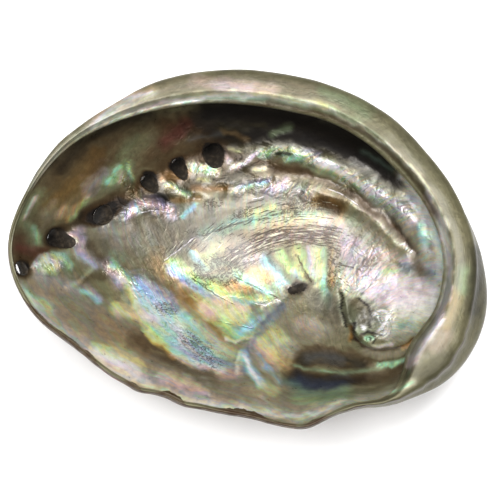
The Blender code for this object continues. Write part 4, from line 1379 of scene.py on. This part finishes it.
@dataclass
class Graph:
    """A material and short calls that make and join its nodes."""

    name: str
    material: bpy.types.Material = field(init=False)
    tree: bpy.types.NodeTree = field(init=False)
    shader: bpy.types.Node = field(init=False)

    def __post_init__(self) -> None:
        """Start the material with its shader alone."""
        self.material = bpy.data.materials.new(self.name)
        self.material.use_nodes = True
        self.tree = self.material.node_tree
        self.shader = self.tree.nodes["Principled BSDF"]

    def feed(self, socket: Socket, value: object) -> None:
        """Join a socket to another one, or give it a plain value.

        Args:
            socket: The socket that is fed.
            value: Another socket, a plain value, or None to leave it.
        """
        if isinstance(value, Socket):
            self.tree.links.new(value, socket)
        elif value is not None:
            socket.default_value = value

    def fill(self, node: bpy.types.Node, inputs: dict[str, object]) -> bpy.types.Node:
        """The same node with its inputs fed by name, with a low line between words."""
        for name, value in inputs.items():
            self.feed(node.inputs[name.replace("_", " ")], value)
        return node

    def node(self, kind: str, **inputs: object) -> bpy.types.Node:
        """A new node of a kind with its inputs fed."""
        return self.fill(self.tree.nodes.new("ShaderNode" + kind), inputs)

    def surface(self, **inputs: object) -> bpy.types.Material:
        """The material, with its shader's inputs fed."""
        self.fill(self.shader, inputs)
        return self.material

    def math(self, operation: str, first: object, second: object = None, third: object = None) -> Socket:
        """The result of one sum or other operation.

        Args:
            operation: Its name.
            first: The first number.
            second: The second one, where it has one.
            third: The third one, where it has one.

        Returns:
            The result's socket.
        """
        made = self.node("Math")
        made.operation = operation
        for socket, value in zip(made.inputs, (first, second, third)):
            self.feed(socket, value)
        return made.outputs[0]

    def times(self, first: object, second: object) -> Socket:
        """Two numbers multiplied."""
        return self.math("MULTIPLY", first, second)

    def add_times(self, value: object, factor: object, base: object) -> Socket:
        """A value times a factor, added to a base."""
        return self.math("MULTIPLY_ADD", value, factor, base)

    def centred(self, value: object) -> Socket:
        """A value from 0 to 1, moved to lie about nought."""
        return self.math("SUBTRACT", value, 0.5)

    def mix(self, share: object, first: object, second: object, blend: str = "MIX") -> Socket:
        """Mix two colours.

        Args:
            share: How much of the second, from 0 to 1.
            first: The first colour.
            second: The second colour.
            blend: How the second goes on the first.

        Returns:
            The mixed colour's socket.
        """
        made = self.node("Mix")
        made.data_type, made.blend_type = "RGBA", blend
        self.feed(made.inputs[0], share)
        for socket, value in zip(made.inputs[6:8], (first, second)):
            self.feed(socket, (*value, 1.0) if isinstance(value, (tuple, Array)) else value)
        return made.outputs[2]

    def band(self, value: object, low: float, high: float) -> Socket:
        """0 below low and 1 above high, or the other way round where low is the higher.

        Args:
            value: The number that is read.
            low: Where it starts.
            high: Where it ends.

        Returns:
            The result's socket.
        """
        made = self.node("MapRange", Value=value, From_Min=low, From_Max=high)
        made.interpolation_type = "SMOOTHSTEP"
        return made.outputs[0]

    def attribute(self, name: str, kind: str) -> Socket:
        """A value stored on the mesh under a name, as a Fac, a Color or a Vector."""
        made = self.node("Attribute")
        made.attribute_name = name
        return made.outputs[kind]

    def split(self, vector: Socket) -> tuple[Socket, ...]:
        """The three numbers of a vector."""
        return tuple(self.node("SeparateXYZ", Vector=vector).outputs)

    def stretched(self, vector: Socket, scale: Sequence[float]) -> Socket:
        """A vector with each of its numbers scaled.

        Args:
            vector: The vector.
            scale: Three factors.

        Returns:
            The scaled vector's socket.
        """
        made = self.node("VectorMath")
        made.operation = "MULTIPLY"
        self.feed(made.inputs[0], vector)
        made.inputs[1].default_value = scale
        return made.outputs[0]

    def noise(
        self, at: Socket, scale: float, detail: float = 3.0, rough: float = 0.55, warp: float = 0.0
    ) -> Socket:
        """Smooth noise from 0 to 1.

        Args:
            at: Where it is read.
            scale: How fine it is.
            detail: How many finer layers it has.
            rough: How strong those are.
            warp: How much it is twisted.

        Returns:
            The noise's socket.
        """
        made = self.node("TexNoise", Vector=at, Scale=scale, Detail=detail, Roughness=rough, Distortion=warp)
        return made.outputs["Fac"]

    def ramp(self, value: object, stops: Sequence[tuple[float, Sequence[float]]]) -> Socket:
        """A colour read from stops.

        Args:
            value: The number that is read, from 0 to 1.
            stops: Pairs of a number and the colour there.

        Returns:
            The colour's socket.
        """
        made = self.node("ValToRGB", Fac=value)
        elements = made.color_ramp.elements
        while len(elements) < len(stops):
            elements.new(0.5)
        for element, (at, colour) in zip(elements, stops):
            element.position, element.color = at, (*colour, 1.0)
        return made.outputs[0]

    def bump(self, height: object, distance: float, strength: float) -> Socket:
        """A normal from a height, with how far that reaches and how much it counts."""
        return self.node("Bump", Height=height, Distance=distance, Strength=strength).outputs[0]


@dataclass(frozen=True)
class Nacre:
    """The pearly inside: laid colour with painted light and shade among it, rainbow streaks along the growth
    lines, painted glints, and a wet gloss.
    """

    gain: float = 0.71
    roughness: float = 0.32
    metallic: float = 0.35
    specular: float = 0.2
    coat: float = 0.35
    coat_roughness: float = 0.18
    shimmer: float = 0.24
    streak: float = 0.06
    mottling: float = 0.9
    clouding: float = 0.9
    facet_scale: float = 300.0
    facet_height: float = 6.0
    glint_and_hollow_shade: float = 0.9
    facet_rainbow: float = 0.35
    scar_shown: Span = (0.05, 0.4)
    furrow_band: Span = (0.655, 0.71)
    furrow_strength: float = 0.8
    furrow_height: float = -0.9
    crest_band: Span = (0.36, 0.28)
    crest_strength: float = 0.6
    crest_height: float = 0.5
    pits_shown: Span = (0.05, 0.5)
    pock_band: Span = (0.05, 0.015)
    pock_strength: float = 0.7
    pock_height: float = -0.7
    chip_band: Span = (0.36, 0.29)
    chip_strength: float = 0.12
    line_strength: float = 0.6
    dark_line_height: float = -0.7
    painted_highlight_height: float = 0.4
    brown_edge: Span = (0.46, 0.56)
    bump_reach: float = 0.00028
    bump_strength: float = 0.8
    rainbow: Sequence[Tone] = (
        Tone.ROSE, Tone.PEACH, Tone.STRAW, Tone.MINT, Tone.CYAN, Tone.PERIWINKLE, Tone.LILAC, Tone.ROSE,
    )  # fmt: skip

    def build(self) -> bpy.types.Material:
        """Make the material.

        Returns:
            The finished material.
        """
        g = Graph("nacre")
        growth = g.attribute("growth", "Vector")
        place = g.node("TexCoord").outputs["Object"]
        tint = g.attribute("tint", "Color")
        scar, glint, pitting = g.split(g.attribute("texture", "Vector"))

        along = g.stretched(growth, (5.0, 5.0, 22.0))
        fine = g.stretched(growth, (14.0, 14.0, 90.0))
        broad = g.noise(along, 1.0, 3.0, 0.6, 0.6)
        streaks = g.noise(fine, 1.0, 3.0, 0.6, 0.3)
        mottle = g.noise(place, 420.0, 4.0, 0.62)
        hue = g.math("FRACT", g.add_times(broad, 4.2, g.times(mottle, 1.1)))
        last = len(self.rainbow) - 1
        rainbow = g.ramp(hue, [(i / last, tuple(tone.linear)) for i, tone in enumerate(self.rainbow)])

        bright = g.node("RGBToBW", Color=tint).outputs[0]
        sheen = g.attribute("sheen", "Fac")
        share = g.times(g.times(g.band(bright, 0.02, 0.45), self.shimmer), sheen)
        tinted = g.mix(share, tint, g.mix(1.0, tint, rainbow, "OVERLAY"))
        colour = g.mix(share, tinted, rainbow, "SOFT_LIGHT")
        level = g.add_times(g.centred(streaks), self.streak * 4, 1.0)
        level = g.add_times(g.centred(mottle), self.mottling, level)
        clouds = g.noise(g.stretched(growth, (3.0, 3.0, 9.0)), 1.0, 2.0, 0.5, 0.8)
        level = g.add_times(g.centred(clouds), self.clouding, level)
        grey = g.node("CombineColor", Red=level, Green=level, Blue=level).outputs[0]
        colour = g.mix(1.0, colour, grey, "MULTIPLY")

        # Painted glints on the hammered lumps: thin bright lines as painted highlights, and painted shade in
        # the hollows between them
        facets = g.noise(place, self.facet_scale, 1.6, 0.45, 1.8)
        contour = g.math("ABSOLUTE", g.centred(facets))
        lit = g.times(g.band(contour, 0.026, 0.006), glint)
        lit = g.times(lit, g.band(bright, 0.05, 0.3))
        hollow_shade = g.times(g.band(facets, 0.42, 0.33), glint)
        colour = g.mix(g.times(glint, self.facet_rainbow), colour, rainbow, "OVERLAY")
        colour = g.mix(g.times(hollow_shade, self.glint_and_hollow_shade), colour, Tone.UMBER.linear)
        colour = g.mix(g.times(lit, self.glint_and_hollow_shade), colour, Tone.PEARL.linear)

        arc = g.attribute("arc", "Vector")
        ridges = g.noise(g.stretched(arc, (0.075, 0.58, 1.0)), 1.0, 3.0, 0.6, 0.5)
        furrow = g.band(g.add_times(scar, 0.17, ridges), *self.furrow_band)
        furrow = g.times(furrow, g.band(scar, *self.scar_shown))
        crest = g.band(g.add_times(scar, -0.12, ridges), *self.crest_band)
        crest = g.times(crest, g.band(scar, *self.scar_shown))
        colour = g.mix(g.times(crest, self.crest_strength), colour, Tone.CREAM.linear)
        colour = g.mix(g.times(furrow, self.furrow_strength), colour, Tone.UMBER.linear)
        pits = g.noise(place, 620.0, 2.0, 0.5, 1.0)
        pocks = g.band(g.math("ABSOLUTE", g.math("SUBTRACT", pits, 0.52)), *self.pock_band)
        pocks = g.times(pocks, g.band(pitting, *self.pits_shown))
        colour = g.mix(g.times(pocks, self.pock_strength), colour, Tone.UMBER.linear)
        chips = g.band(g.add_times(pitting, -0.14, pits), *self.chip_band)
        chips = g.times(chips, g.band(pitting, *self.pits_shown))
        colour = g.mix(g.times(chips, self.chip_strength), colour, Tone.CREAM.linear)

        wobble = g.times(g.centred(g.noise(place, 700.0, 2.0)), 2.4)
        dark = self.thread(g, "dark_line", wobble)
        colour = g.mix(g.times(dark, self.line_strength), colour, Tone.UMBER.linear)
        # Painted highlight lines in pearl white
        light = self.thread(g, "painted_highlight", wobble)
        colour = g.mix(g.times(light, self.line_strength), colour, Tone.PEARL.linear)

        edge = g.attribute("edge", "Fac")
        ragged = g.add_times(g.centred(mottle), 0.5, edge)
        brown = g.mix(g.band(mottle, 0.44, 0.58), Tone.UMBER.linear, Tone.MOSS.linear)
        colour = g.mix(g.band(ragged, *self.brown_edge), colour, brown)
        colour = g.node("HueSaturation", Value=self.gain, Color=colour).outputs[0]

        rough = g.add_times(g.centred(mottle), 0.25, self.roughness)
        rough = g.add_times(g.math("MAXIMUM", scar, pitting), 0.25, rough)
        rough = g.add_times(g.band(bright, 0.03, 0.0), 0.4, rough)
        rough = g.add_times(g.math("SUBTRACT", 1.0, sheen), 0.22, rough)
        coat = g.times(g.band(bright, 0.0, 0.10), self.coat)

        height = g.times(g.math("ADD", streaks, mottle), 0.35)
        height = g.add_times(furrow, self.furrow_height, height)
        height = g.add_times(crest, self.crest_height, height)
        height = g.add_times(pocks, self.pock_height, height)
        swell = g.add_times(glint, self.facet_height, 0.7)
        height = g.add_times(facets, swell, height)
        height = g.add_times(dark, self.dark_line_height, height)
        height = g.add_times(light, self.painted_highlight_height, height)
        return g.surface(
            Base_Color=colour,
            Roughness=rough,
            Metallic=self.metallic,
            Specular_IOR_Level=self.specular,
            Coat_Weight=g.times(coat, sheen),
            Coat_Roughness=self.coat_roughness,
            Normal=g.bump(height, self.bump_reach, self.bump_strength),
        )

    @staticmethod
    def thread(g: Graph, name: str, wobble: Socket) -> Socket:
        """A thin wavering line from a distance stored on the mesh.

        Args:
            g: The material's nodes.
            name: The stored distance.
            wobble: How far the line strays, in pixels of the photograph's frame.

        Returns:
            1 on the line and 0 off it.
        """
        gap, near, _ = g.split(g.attribute(name, "Vector"))
        off = g.math("ABSOLUTE", g.math("ADD", gap, wobble))
        broken = g.band(g.noise(g.node("TexCoord").outputs["Object"], 260.0, 2.0), 0.38, 0.52)
        return g.times(g.times(g.band(off, 0.9, 0.2), g.band(near, 0.25, 0.7)), broken)


@dataclass(frozen=True)
class Crust:
    """The rough outside: brown and olive bands of growth, with a pale crust in patches."""

    roughness: float = 0.72
    bands: Sequence[tuple[float, Sequence[float]]] = (
        (0.30, (0.075, 0.045, 0.028)),
        (0.42, (0.16, 0.085, 0.048)),
        (0.52, (0.22, 0.15, 0.085)),
        (0.62, (0.17, 0.16, 0.09)),
        (0.72, (0.30, 0.22, 0.14)),
    )
    line_colour: Sequence[float] = (0.09, 0.055, 0.035)
    rib_colour: Sequence[float] = (0.33, 0.26, 0.18)
    pale_colour: Sequence[float] = (0.46, 0.44, 0.38)
    rosy_colour: Sequence[float] = (0.36, 0.17, 0.14)
    worn_colour: Sequence[float] = (0.42, 0.38, 0.32)
    edge_colour: Sequence[float] = (0.10, 0.065, 0.04)
    bump_reach: float = 0.0008
    bump_strength: float = 0.8

    def build(self) -> bpy.types.Material:
        """Make the material.

        Returns:
            The finished material.
        """
        g = Graph("crust")
        growth = g.attribute("growth", "Vector")
        place = g.node("TexCoord").outputs["Object"]
        bands = g.noise(g.stretched(growth, (1.6, 1.6, 7.0)), 1.0, 4.0, 0.6, 0.4)
        lines = g.noise(g.stretched(growth, (7.0, 7.0, 60.0)), 1.0, 3.0, 0.6, 0.2)
        ribs = g.noise(g.stretched(growth, (18.0, 18.0, 2.5)), 1.0, 3.0, 0.6, 0.3)
        grit = g.noise(place, 900.0, 5.0, 0.7)
        colour = g.ramp(bands, self.bands)
        colour = g.mix(g.band(lines, 0.52, 0.66), colour, self.line_colour)
        colour = g.mix(g.times(g.band(ribs, 0.52, 0.68), 0.5), colour, self.rib_colour)
        patches = g.band(g.noise(place, 75.0, 5.0, 0.65, 0.8), 0.56, 0.64)
        pale = g.times(patches, g.band(grit, 0.42, 0.58))
        colour = g.mix(g.times(pale, 0.8), colour, self.pale_colour)
        rosy = g.band(g.noise(place, 110.0, 4.0, 0.6), 0.60, 0.68)
        colour = g.mix(g.times(rosy, 0.5), colour, self.rosy_colour)
        worn = g.attribute("worn", "Fac")
        colour = g.mix(g.times(g.band(worn, 0.3, 0.9), 0.7), colour, self.worn_colour)
        edge = g.attribute("edge", "Fac")
        colour = g.mix(g.band(edge, 0.5, 1.0), colour, self.edge_colour)
        height = g.add_times(lines, 0.6, g.times(grit, 0.9))
        height = g.add_times(ribs, 0.5, height)
        height = g.add_times(pale, 0.5, height)
        return g.surface(
            Base_Color=colour,
            Roughness=g.add_times(grit, 0.3, self.roughness - 0.15),
            Normal=g.bump(height, self.bump_reach, self.bump_strength),
        )


@dataclass(frozen=True)
class HoleShade:
    """The wall inside each breathing hole and the pit's floor, painted near black brown as the shade in them.
    """

    colour: tuple[float, float, float] = (0.012, 0.009, 0.006)
    roughness: float = 0.62
    specular: float = 0.15
    bump_reach: float = 0.0004
    bump_strength: float = 0.6

    def build(self) -> bpy.types.Material:
        """Make the material.

        Returns:
            The finished material.
        """
        g = Graph("tunnel")
        place = g.node("TexCoord").outputs["Object"]
        grit = g.noise(place, 700.0, 4.0, 0.6)
        pale = tuple(3 * part for part in self.colour)
        return g.surface(
            Base_Color=g.mix(g.band(grit, 0.45, 0.7), self.colour, pale),
            Roughness=self.roughness,
            Specular_IOR_Level=self.specular,
            Normal=g.bump(grit, self.bump_reach, self.bump_strength),
        )


@dataclass(frozen=True)
class Lamp:
    """A soft box aimed at the shell, in metres and watts."""

    name: str
    at: Sequence[float]
    size: Span
    watts: float

    def hang(self) -> None:
        """Put it in the scene."""
        data = bpy.data.lights.new(self.name, "AREA")
        data.shape = "RECTANGLE"
        data.size, data.size_y = self.size
        data.energy = self.watts
        lamp = add(self.name, data)
        lamp.location = self.at
        lamp.rotation_euler = (-Vector(self.at)).to_track_quat("-Z", "Y").to_euler()


@dataclass
class Studio:
    """A plain pale floor and soft studio light."""

    floor_half: float = 3.0
    floor_colour: Sequence[float] = (0.9, 0.9, 0.9)
    floor_roughness: float = 0.9
    sky_light: float = 0.06
    lamps: Sequence[Lamp] = (
        Lamp("top_box", (0.05, 0.04, 1.30), (2.0, 1.05), 31.0),
        Lamp("key", (0.36, 0.48, 1.36), (0.35, 0.35), 11.0),
        Lamp("fill", (-0.40, -0.05, 1.32), (0.45, 0.45), 8.0),
    )

    def lay_floor(self) -> None:
        """Lay the floor, a wide plain sheet."""
        sheet = bmesh.new()
        bmesh.ops.create_grid(sheet, x_segments=1, y_segments=1, size=self.floor_half)
        mesh = to_mesh(sheet, "floor")
        colour = (*self.floor_colour, 1.0)
        mesh.materials.append(Graph("floor").surface(Base_Color=colour, Roughness=self.floor_roughness))
        add("floor", mesh)

    def build(self) -> None:
        """Set up the floor, the lights and the world."""
        self.lay_floor()
        for lamp in self.lamps:
            lamp.hang()
        world = bpy.data.worlds.new("world")
        world.use_nodes = True
        background = world.node_tree.nodes["Background"]
        background.inputs["Color"].default_value = (1.0, 1.0, 1.0, 1.0)
        background.inputs["Strength"].default_value = self.sky_light
        bpy.context.scene.world = world
        bpy.context.scene.view_settings.view_transform = "Standard"


@dataclass
class Loft:
    """Every vertex of the shell, before it is laid down."""

    row: Array
    azimuth: Array
    plan: Array
    places: Array
    age: Array
    rib: Array
    pixels: tuple[Array, Array] = field(init=False)


@dataclass
class Shell:
    """The whole shell: one loft, its relief, its holes and its two finishes."""

    sections: Sections = field(default_factory=Sections)
    coil: Coil = field(default_factory=Coil)
    camera: Camera = field(default_factory=Camera)
    paint: Paint = field(default_factory=Paint)
    threads: Threads = field(default_factory=Threads)
    relief: Relief = field(init=False)
    scar_centre: tuple[float, float] = (306.0, 343.0)
    scar_radius: float = 118.0
    shelf_sheen: float = 0.45
    shelf_stretch: float = 40.0
    edge_widths: Sequence[float] = (0.20, 0.20, 0.20, 0.20, 0.25, 0.35, 0.70, 1.30, 1.50, 1.50, 1.00, 0.30)
    skirt_rows: Sequence[float] = (16.0, 16.0, 13.0, 9.0, 5.0, 2.0, 1.0, 1.0, 1.0, 1.0, 5.0, 12.0)
    columns: int = 512
    inner_fade: float = 0.2
    outer_fade: float = 1 / 6
    rest_roll: float = -4.4
    rest_pitch: float = -0.2
    edge_raggedness: float = 0.7
    least_edge_width: float = 0.05
    worn_rows: float = 14.0
    cutter_reach: float = 9.0
    cutter_sides: int = 40
    pit: Line = ((293.0, 290.5), (302.0, 287.5))
    pit_reach: float = 4.2

    def __post_init__(self) -> None:
        """Give the relief the same coil."""
        self.relief = Relief(self.coil)

    def loft(self, mesh: bpy.types.Mesh) -> Loft:
        """Work out where each vertex of a unit sphere lies on the shell.

        Args:
            mesh: A sphere with one ring of vertices for each row of a section.

        Returns:
            The vertices in mm, in the shell's own frame, with what is known about each.
        """
        count = len(mesh.vertices)
        unit = np.empty(count * 3)
        mesh.vertices.foreach_get("co", unit)
        unit = unit.reshape(-1, 3)
        rows = self.sections.rows
        row = np.rint(np.arccos(np.clip(unit[:, 2], -1, 1)) / math.pi * rows).astype(int)
        pole = (row == 0) | (row == rows)
        turn = np.arctan2(unit[:, 1], unit[:, 0]) / (2 * math.pi)
        column = np.where(pole, 0, np.rint(turn * self.columns).astype(int) % self.columns)
        azimuths = np.arange(self.columns) * 360.0 / self.columns
        lines = np.stack([self.sections.section(azimuth) for azimuth in azimuths])
        along = np.gradient(lines, axis=1)
        normals = np.stack([-along[..., 1], along[..., 0]], axis=-1)
        normals /= np.maximum(np.linalg.norm(normals, axis=-1, keepdims=True), 1e-9)

        azimuth = azimuths[column]
        cos, sin = np.cos(np.radians(azimuth)), np.sin(np.radians(azimuth))
        reach, height = lines[column, row].T
        out, up = normals[column, row].T
        x, y = reach * cos, reach * sin
        age, rib = self.coil.growth(x, y, self.sections)
        inner, outer = self.sections.floor_rows, self.sections.back_start
        inner_share = 1 - smooth_step(inner * (1 - self.inner_fade), inner, row)
        outer_share = smooth_step(outer, outer + self.sections.back_rows * self.outer_fade, row)
        lift = inner_share * self.relief.inside(x, y, age) + outer_share * self.relief.outside(x, y, age, rib)
        lift = lift + self.relief.on_rim(x, y, row, self.sections)
        sink = np.where((row <= inner) | (row >= outer), self.relief.sink(x, y), 0.0)
        places = np.stack([x + lift * out * cos, y + lift * out * sin, height + lift * up - sink], axis=1)
        places[pole, :2] = 0.0
        made = Loft(row, azimuth, np.stack([x, y], axis=1), places, age, rib)
        made.pixels = self.camera.pixels(places)
        return made

    def place(self, places: Array) -> Matrix:
        """How the shell lies: turned to its balance, with its box where the solid's is.

        Args:
            places: The vertices in mm, in the shell's own frame.

        Returns:
            The matrix from the shell's own frame to the row's, in mm.
        """
        roll, pitch = math.radians(self.rest_roll), math.radians(self.rest_pitch)
        turn = Matrix.Rotation(roll, 4, "X") @ Matrix.Rotation(pitch, 4, "Y")
        turned = places @ np.array(turn.to_3x3()).T
        low, high = (np.array(corner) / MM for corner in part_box(NODE))
        middle = (low + high) / 2 - (turned.min(axis=0) + turned.max(axis=0)) / 2
        shift = Vector((middle[0], middle[1], high[2] - turned[:, 2].max()))
        return Matrix.Translation(shift) @ turn

    def hole_cutter(
        self, number: int, loft: Loft, place: Matrix, finishes: Sequence[bpy.types.Material]
    ) -> bpy.types.Object:
        """A rod through the wall at a breathing hole, which leans so that its wall, painted near black as
        shade, is seen.

        Args:
            number: Which hole, from 0 for the youngest.
            loft: The shell's vertices.
            place: How the shell lies.
            finishes: The shell's finishes, of which the last is the holes' painted shade.

        Returns:
            The cutter, in metres, in the row's frame.
        """
        holes = self.relief.holes
        hole = holes[number]
        x, y = hole.at
        azimuth = math.degrees(math.atan2(y, x))
        line = self.sections.section(azimuth)
        along = np.gradient(line, axis=0)
        row = int(np.argmin(np.abs(line[: self.sections.floor_rows, 0] - math.hypot(x, y))))
        out, up = -along[row, 1], along[row, 0]
        square = math.atan2(out, up)
        lean = square - math.radians(hole.lean)
        axis = Vector((x, y, 0.0)).normalized() * math.sin(lean) + Vector((0.0, 0.0, math.cos(lean)))
        not_floor = loft.row > self.sections.floor_rows
        gap = np.hypot(loft.plan[:, 0] - x, loft.plan[:, 1] - y) + FAR * not_floor
        middle = Vector(loft.places[int(np.argmin(gap))])
        before, after = holes[max(number - 1, 0)], holes[min(number + 1, len(holes) - 1)]
        row_way = Vector((*(Vector(after.at) - Vector(before.at)), 0.0))
        side = axis.cross(row_way).normalized()
        turn = Matrix((side.cross(axis), side, axis)).transposed().to_4x4()
        cutter = bmesh.new()
        bmesh.ops.create_cone(
            cutter,
            cap_ends=True,
            segments=self.cutter_sides,
            radius1=hole.radius,
            radius2=hole.radius,
            depth=2 * self.cutter_reach,
        )
        bmesh.ops.scale(cutter, vec=(hole.stretch, 1 / hole.stretch, 1.0), verts=cutter.verts)
        bmesh.ops.transform(cutter, matrix=place @ Matrix.Translation(middle) @ turn, verts=cutter.verts)
        bmesh.ops.scale(cutter, vec=(MM, MM, MM), verts=cutter.verts)
        for side in cutter.faces:
            side.material_index = len(finishes) - 1
        mesh = to_mesh(cutter, "hole_cutter")
        for finish in finishes:
            mesh.materials.append(finish)
        return add("hole_cutter", mesh)

    def faces(self, loft: Loft) -> dict[Face, Array]:
        """How much each vertex belongs to the bowl's face and to the shelf's."""
        top = (loft.row > self.sections.inner_rows - 2).astype(float)
        return {Face.BOWL: 1 - top, Face.SHELF: top}

    @staticmethod
    def store(mesh: bpy.types.Mesh, name: str, values: Array) -> None:
        """Keep a value on each vertex of the mesh.

        Args:
            mesh: The mesh.
            name: The value's name, which the finishes read.
            values: For each vertex one number, the three of a vector or the four of a colour.
        """
        kinds = {1: ("FLOAT", "value"), 3: ("FLOAT_VECTOR", "vector"), 4: ("FLOAT_COLOR", "color")}
        kind, part = kinds[values.size // len(mesh.vertices)]
        mesh.attributes.new(name, kind, "POINT").data.foreach_set(part, values.ravel())

    def edge(self, loft: Loft) -> Array:
        """How near each vertex is to the shell's edge: 1 on it, a half where the crust's brown rim ends.

        Args:
            loft: The lofted vertices.

        Returns:
            One value for each vertex.
        """
        column = np.rint(loft.azimuth / 360.0 * self.columns).astype(int)
        on_edge = loft.row == self.sections.inner_rows + self.sections.top_rows
        edge_places = np.zeros((self.columns, 3))
        edge_places[column[on_edge]] = loft.places[on_edge]
        gap = np.linalg.norm(loft.places - edge_places[column], axis=1)
        rough = self.relief.grain.at(edge_places[column, 0] + 200.0, edge_places[column, 1], 6.5)
        width = around(self.edge_widths, loft.azimuth) * (1 + self.edge_raggedness * rough)
        return 1 - np.clip(gap / np.maximum(width, self.least_edge_width), 0.0, 2.0) / 2

    def dress(self, mesh: bpy.types.Mesh, loft: Loft, nearest: Array) -> None:
        """Lay the colours, the textures and the lines on the mesh.

        Args:
            mesh: The finished mesh.
            loft: The lofted vertices that they are worked out for.
            nearest: For each vertex of the mesh, the lofted one at its place.
        """
        u, v = loft.pixels
        colour, texture = self.paint.lay(u, v, self.faces(loft))
        growth = np.stack([np.cos(loft.rib), np.sin(loft.rib), loft.age], axis=1)
        turn = np.radians(loft.azimuth)
        inward = (self.sections.rim(loft.azimuth) - np.hypot(*loft.plan.T)) / self.shelf_stretch
        along = np.stack([np.cos(turn), np.sin(turn), inward], axis=1)
        centre_u, centre_v = self.scar_centre
        across, down = u - centre_u, v - centre_v
        turn = np.arctan2(down, across) * self.scar_radius
        arc = np.stack([turn, np.hypot(across, down), np.zeros(len(u))], axis=1)
        under = loft.row <= self.sections.inner_rows
        skirt = loft.row <= self.sections.back_start
        growth = np.where((~under & skirt)[:, None], along, growth)
        threads = self.threads
        off = np.array([FAR, 0.0, 0.0])
        dark = np.where(under[:, None], threads.gaps(u, v, threads.dark), off)
        light = np.where(under[:, None], threads.gaps(u, v, threads.light), off)
        values = {
            "tint": np.hstack([colour, np.ones((len(u), 1))]),
            "texture": texture,
            "growth": growth,
            "arc": arc,
            "dark_line": dark,
            "painted_highlight": light,
            "edge": self.edge(loft),
            "sheen": np.where(under, 1.0, self.shelf_sheen),
            "worn": hill(loft.row - self.sections.rows, 1.0, self.worn_rows),
        }
        for name, value in values.items():
            self.store(mesh, name, value[nearest])

    def bore(self, mesh: bpy.types.Mesh, loft: Loft, place: Matrix) -> bpy.types.Mesh:
        """Cut the breathing holes through the shell.

        Args:
            mesh: The uncut shell.
            loft: Its vertices.
            place: How the shell lies.

        Returns:
            A new mesh with the holes in it.
        """
        uncut = add("uncut", mesh)
        numbers = range(len(self.relief.holes))
        cutters = [self.hole_cutter(number, loft, place, list(mesh.materials)) for number in numbers]
        for cutter in cutters:
            cut = uncut.modifiers.new(cutter.name, "BOOLEAN")
            cut.operation, cut.solver, cut.object = "DIFFERENCE", "EXACT", cutter
        seen = uncut.evaluated_get(bpy.context.evaluated_depsgraph_get())
        bored = bpy.data.meshes.new_from_object(seen)
        for used in (uncut, *cutters):
            bpy.data.objects.remove(used)
        bored.name = PIECE
        return bored

    def finish(self, mesh: bpy.types.Mesh, loft: Loft) -> None:
        """Give each face its finish: nacre inside, crust outside, and in the pit the holes' near black,
        painted as shade.

        Args:
            mesh: The uncut shell.
            loft: Its vertices.
        """
        for finish in (Nacre(), Crust(), HoleShade()):
            mesh.materials.append(finish.build())
        rim = self.sections.inner_rows + self.sections.top_rows
        corners = np.empty(len(mesh.loops), int)
        mesh.loops.foreach_get("vertex_index", corners)
        starts = np.empty(len(mesh.polygons), int)
        mesh.polygons.foreach_get("loop_start", starts)
        highest = np.maximum.reduceat(loft.row[corners], starts)
        first = corners[starts]
        skirt = rim + 1 + np.rint(around(self.skirt_rows, loft.azimuth[first]))
        slots = (highest > skirt).astype(np.int32)
        gap, _ = line_distance(*(part[first] for part in loft.pixels), self.pit)
        in_pit = (np.abs(gap) < self.pit_reach) & (highest < self.sections.floor_rows)
        # The pit gets the holes' near black finish, painted shade
        slots[in_pit] = len(mesh.materials) - 1
        mesh.polygons.foreach_set("material_index", slots)

    def build(self) -> bpy.types.Object:
        """Model the shell and dress it.

        Returns:
            The finished object, at the origin, in metres.
        """
        ball = bmesh.new()
        bmesh.ops.create_uvsphere(ball, u_segments=self.columns, v_segments=self.sections.rows, radius=1.0)
        mesh = to_mesh(ball, "uncut")
        loft = self.loft(mesh)
        place = self.place(loft.places[loft.row <= self.sections.back_start])
        laid = loft.places @ np.array(place.to_3x3()).T + np.array(place.translation)
        laid[:, 2] = np.maximum(laid[:, 2], 0.0)
        mesh.vertices.foreach_set("co", (laid * MM).ravel())
        self.finish(mesh, loft)
        mesh.update()
        bored = self.bore(mesh, loft, place)
        tree = KDTree(len(laid))
        for index, point in enumerate(laid * MM):
            tree.insert(point, index)
        tree.balance()
        nearest = np.array([tree.find(vertex.co)[1] for vertex in bored.vertices])
        self.dress(bored, loft, nearest)
        bored.shade_smooth()
        self.camera.build(place)
        log.info("shell: %d vertices, %d faces", len(bored.vertices), len(bored.polygons))
        return bpy.data.objects.new(PIECE, bored)


def main() -> None:
    """Build the shell, dress it and light it."""
    logging.basicConfig(level=logging.INFO, format="%(name)s: %(message)s")
    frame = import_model()
    log.info("packed nodes: %s", ", ".join(frame["nodes"]))
    shell = Shell()
    piece = shell.build()
    bpy.context.scene.collection.objects.link(piece)
    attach(piece, BODY)
    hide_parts(NODE)
    Studio().build()


if __name__ == "__main__":
    main()
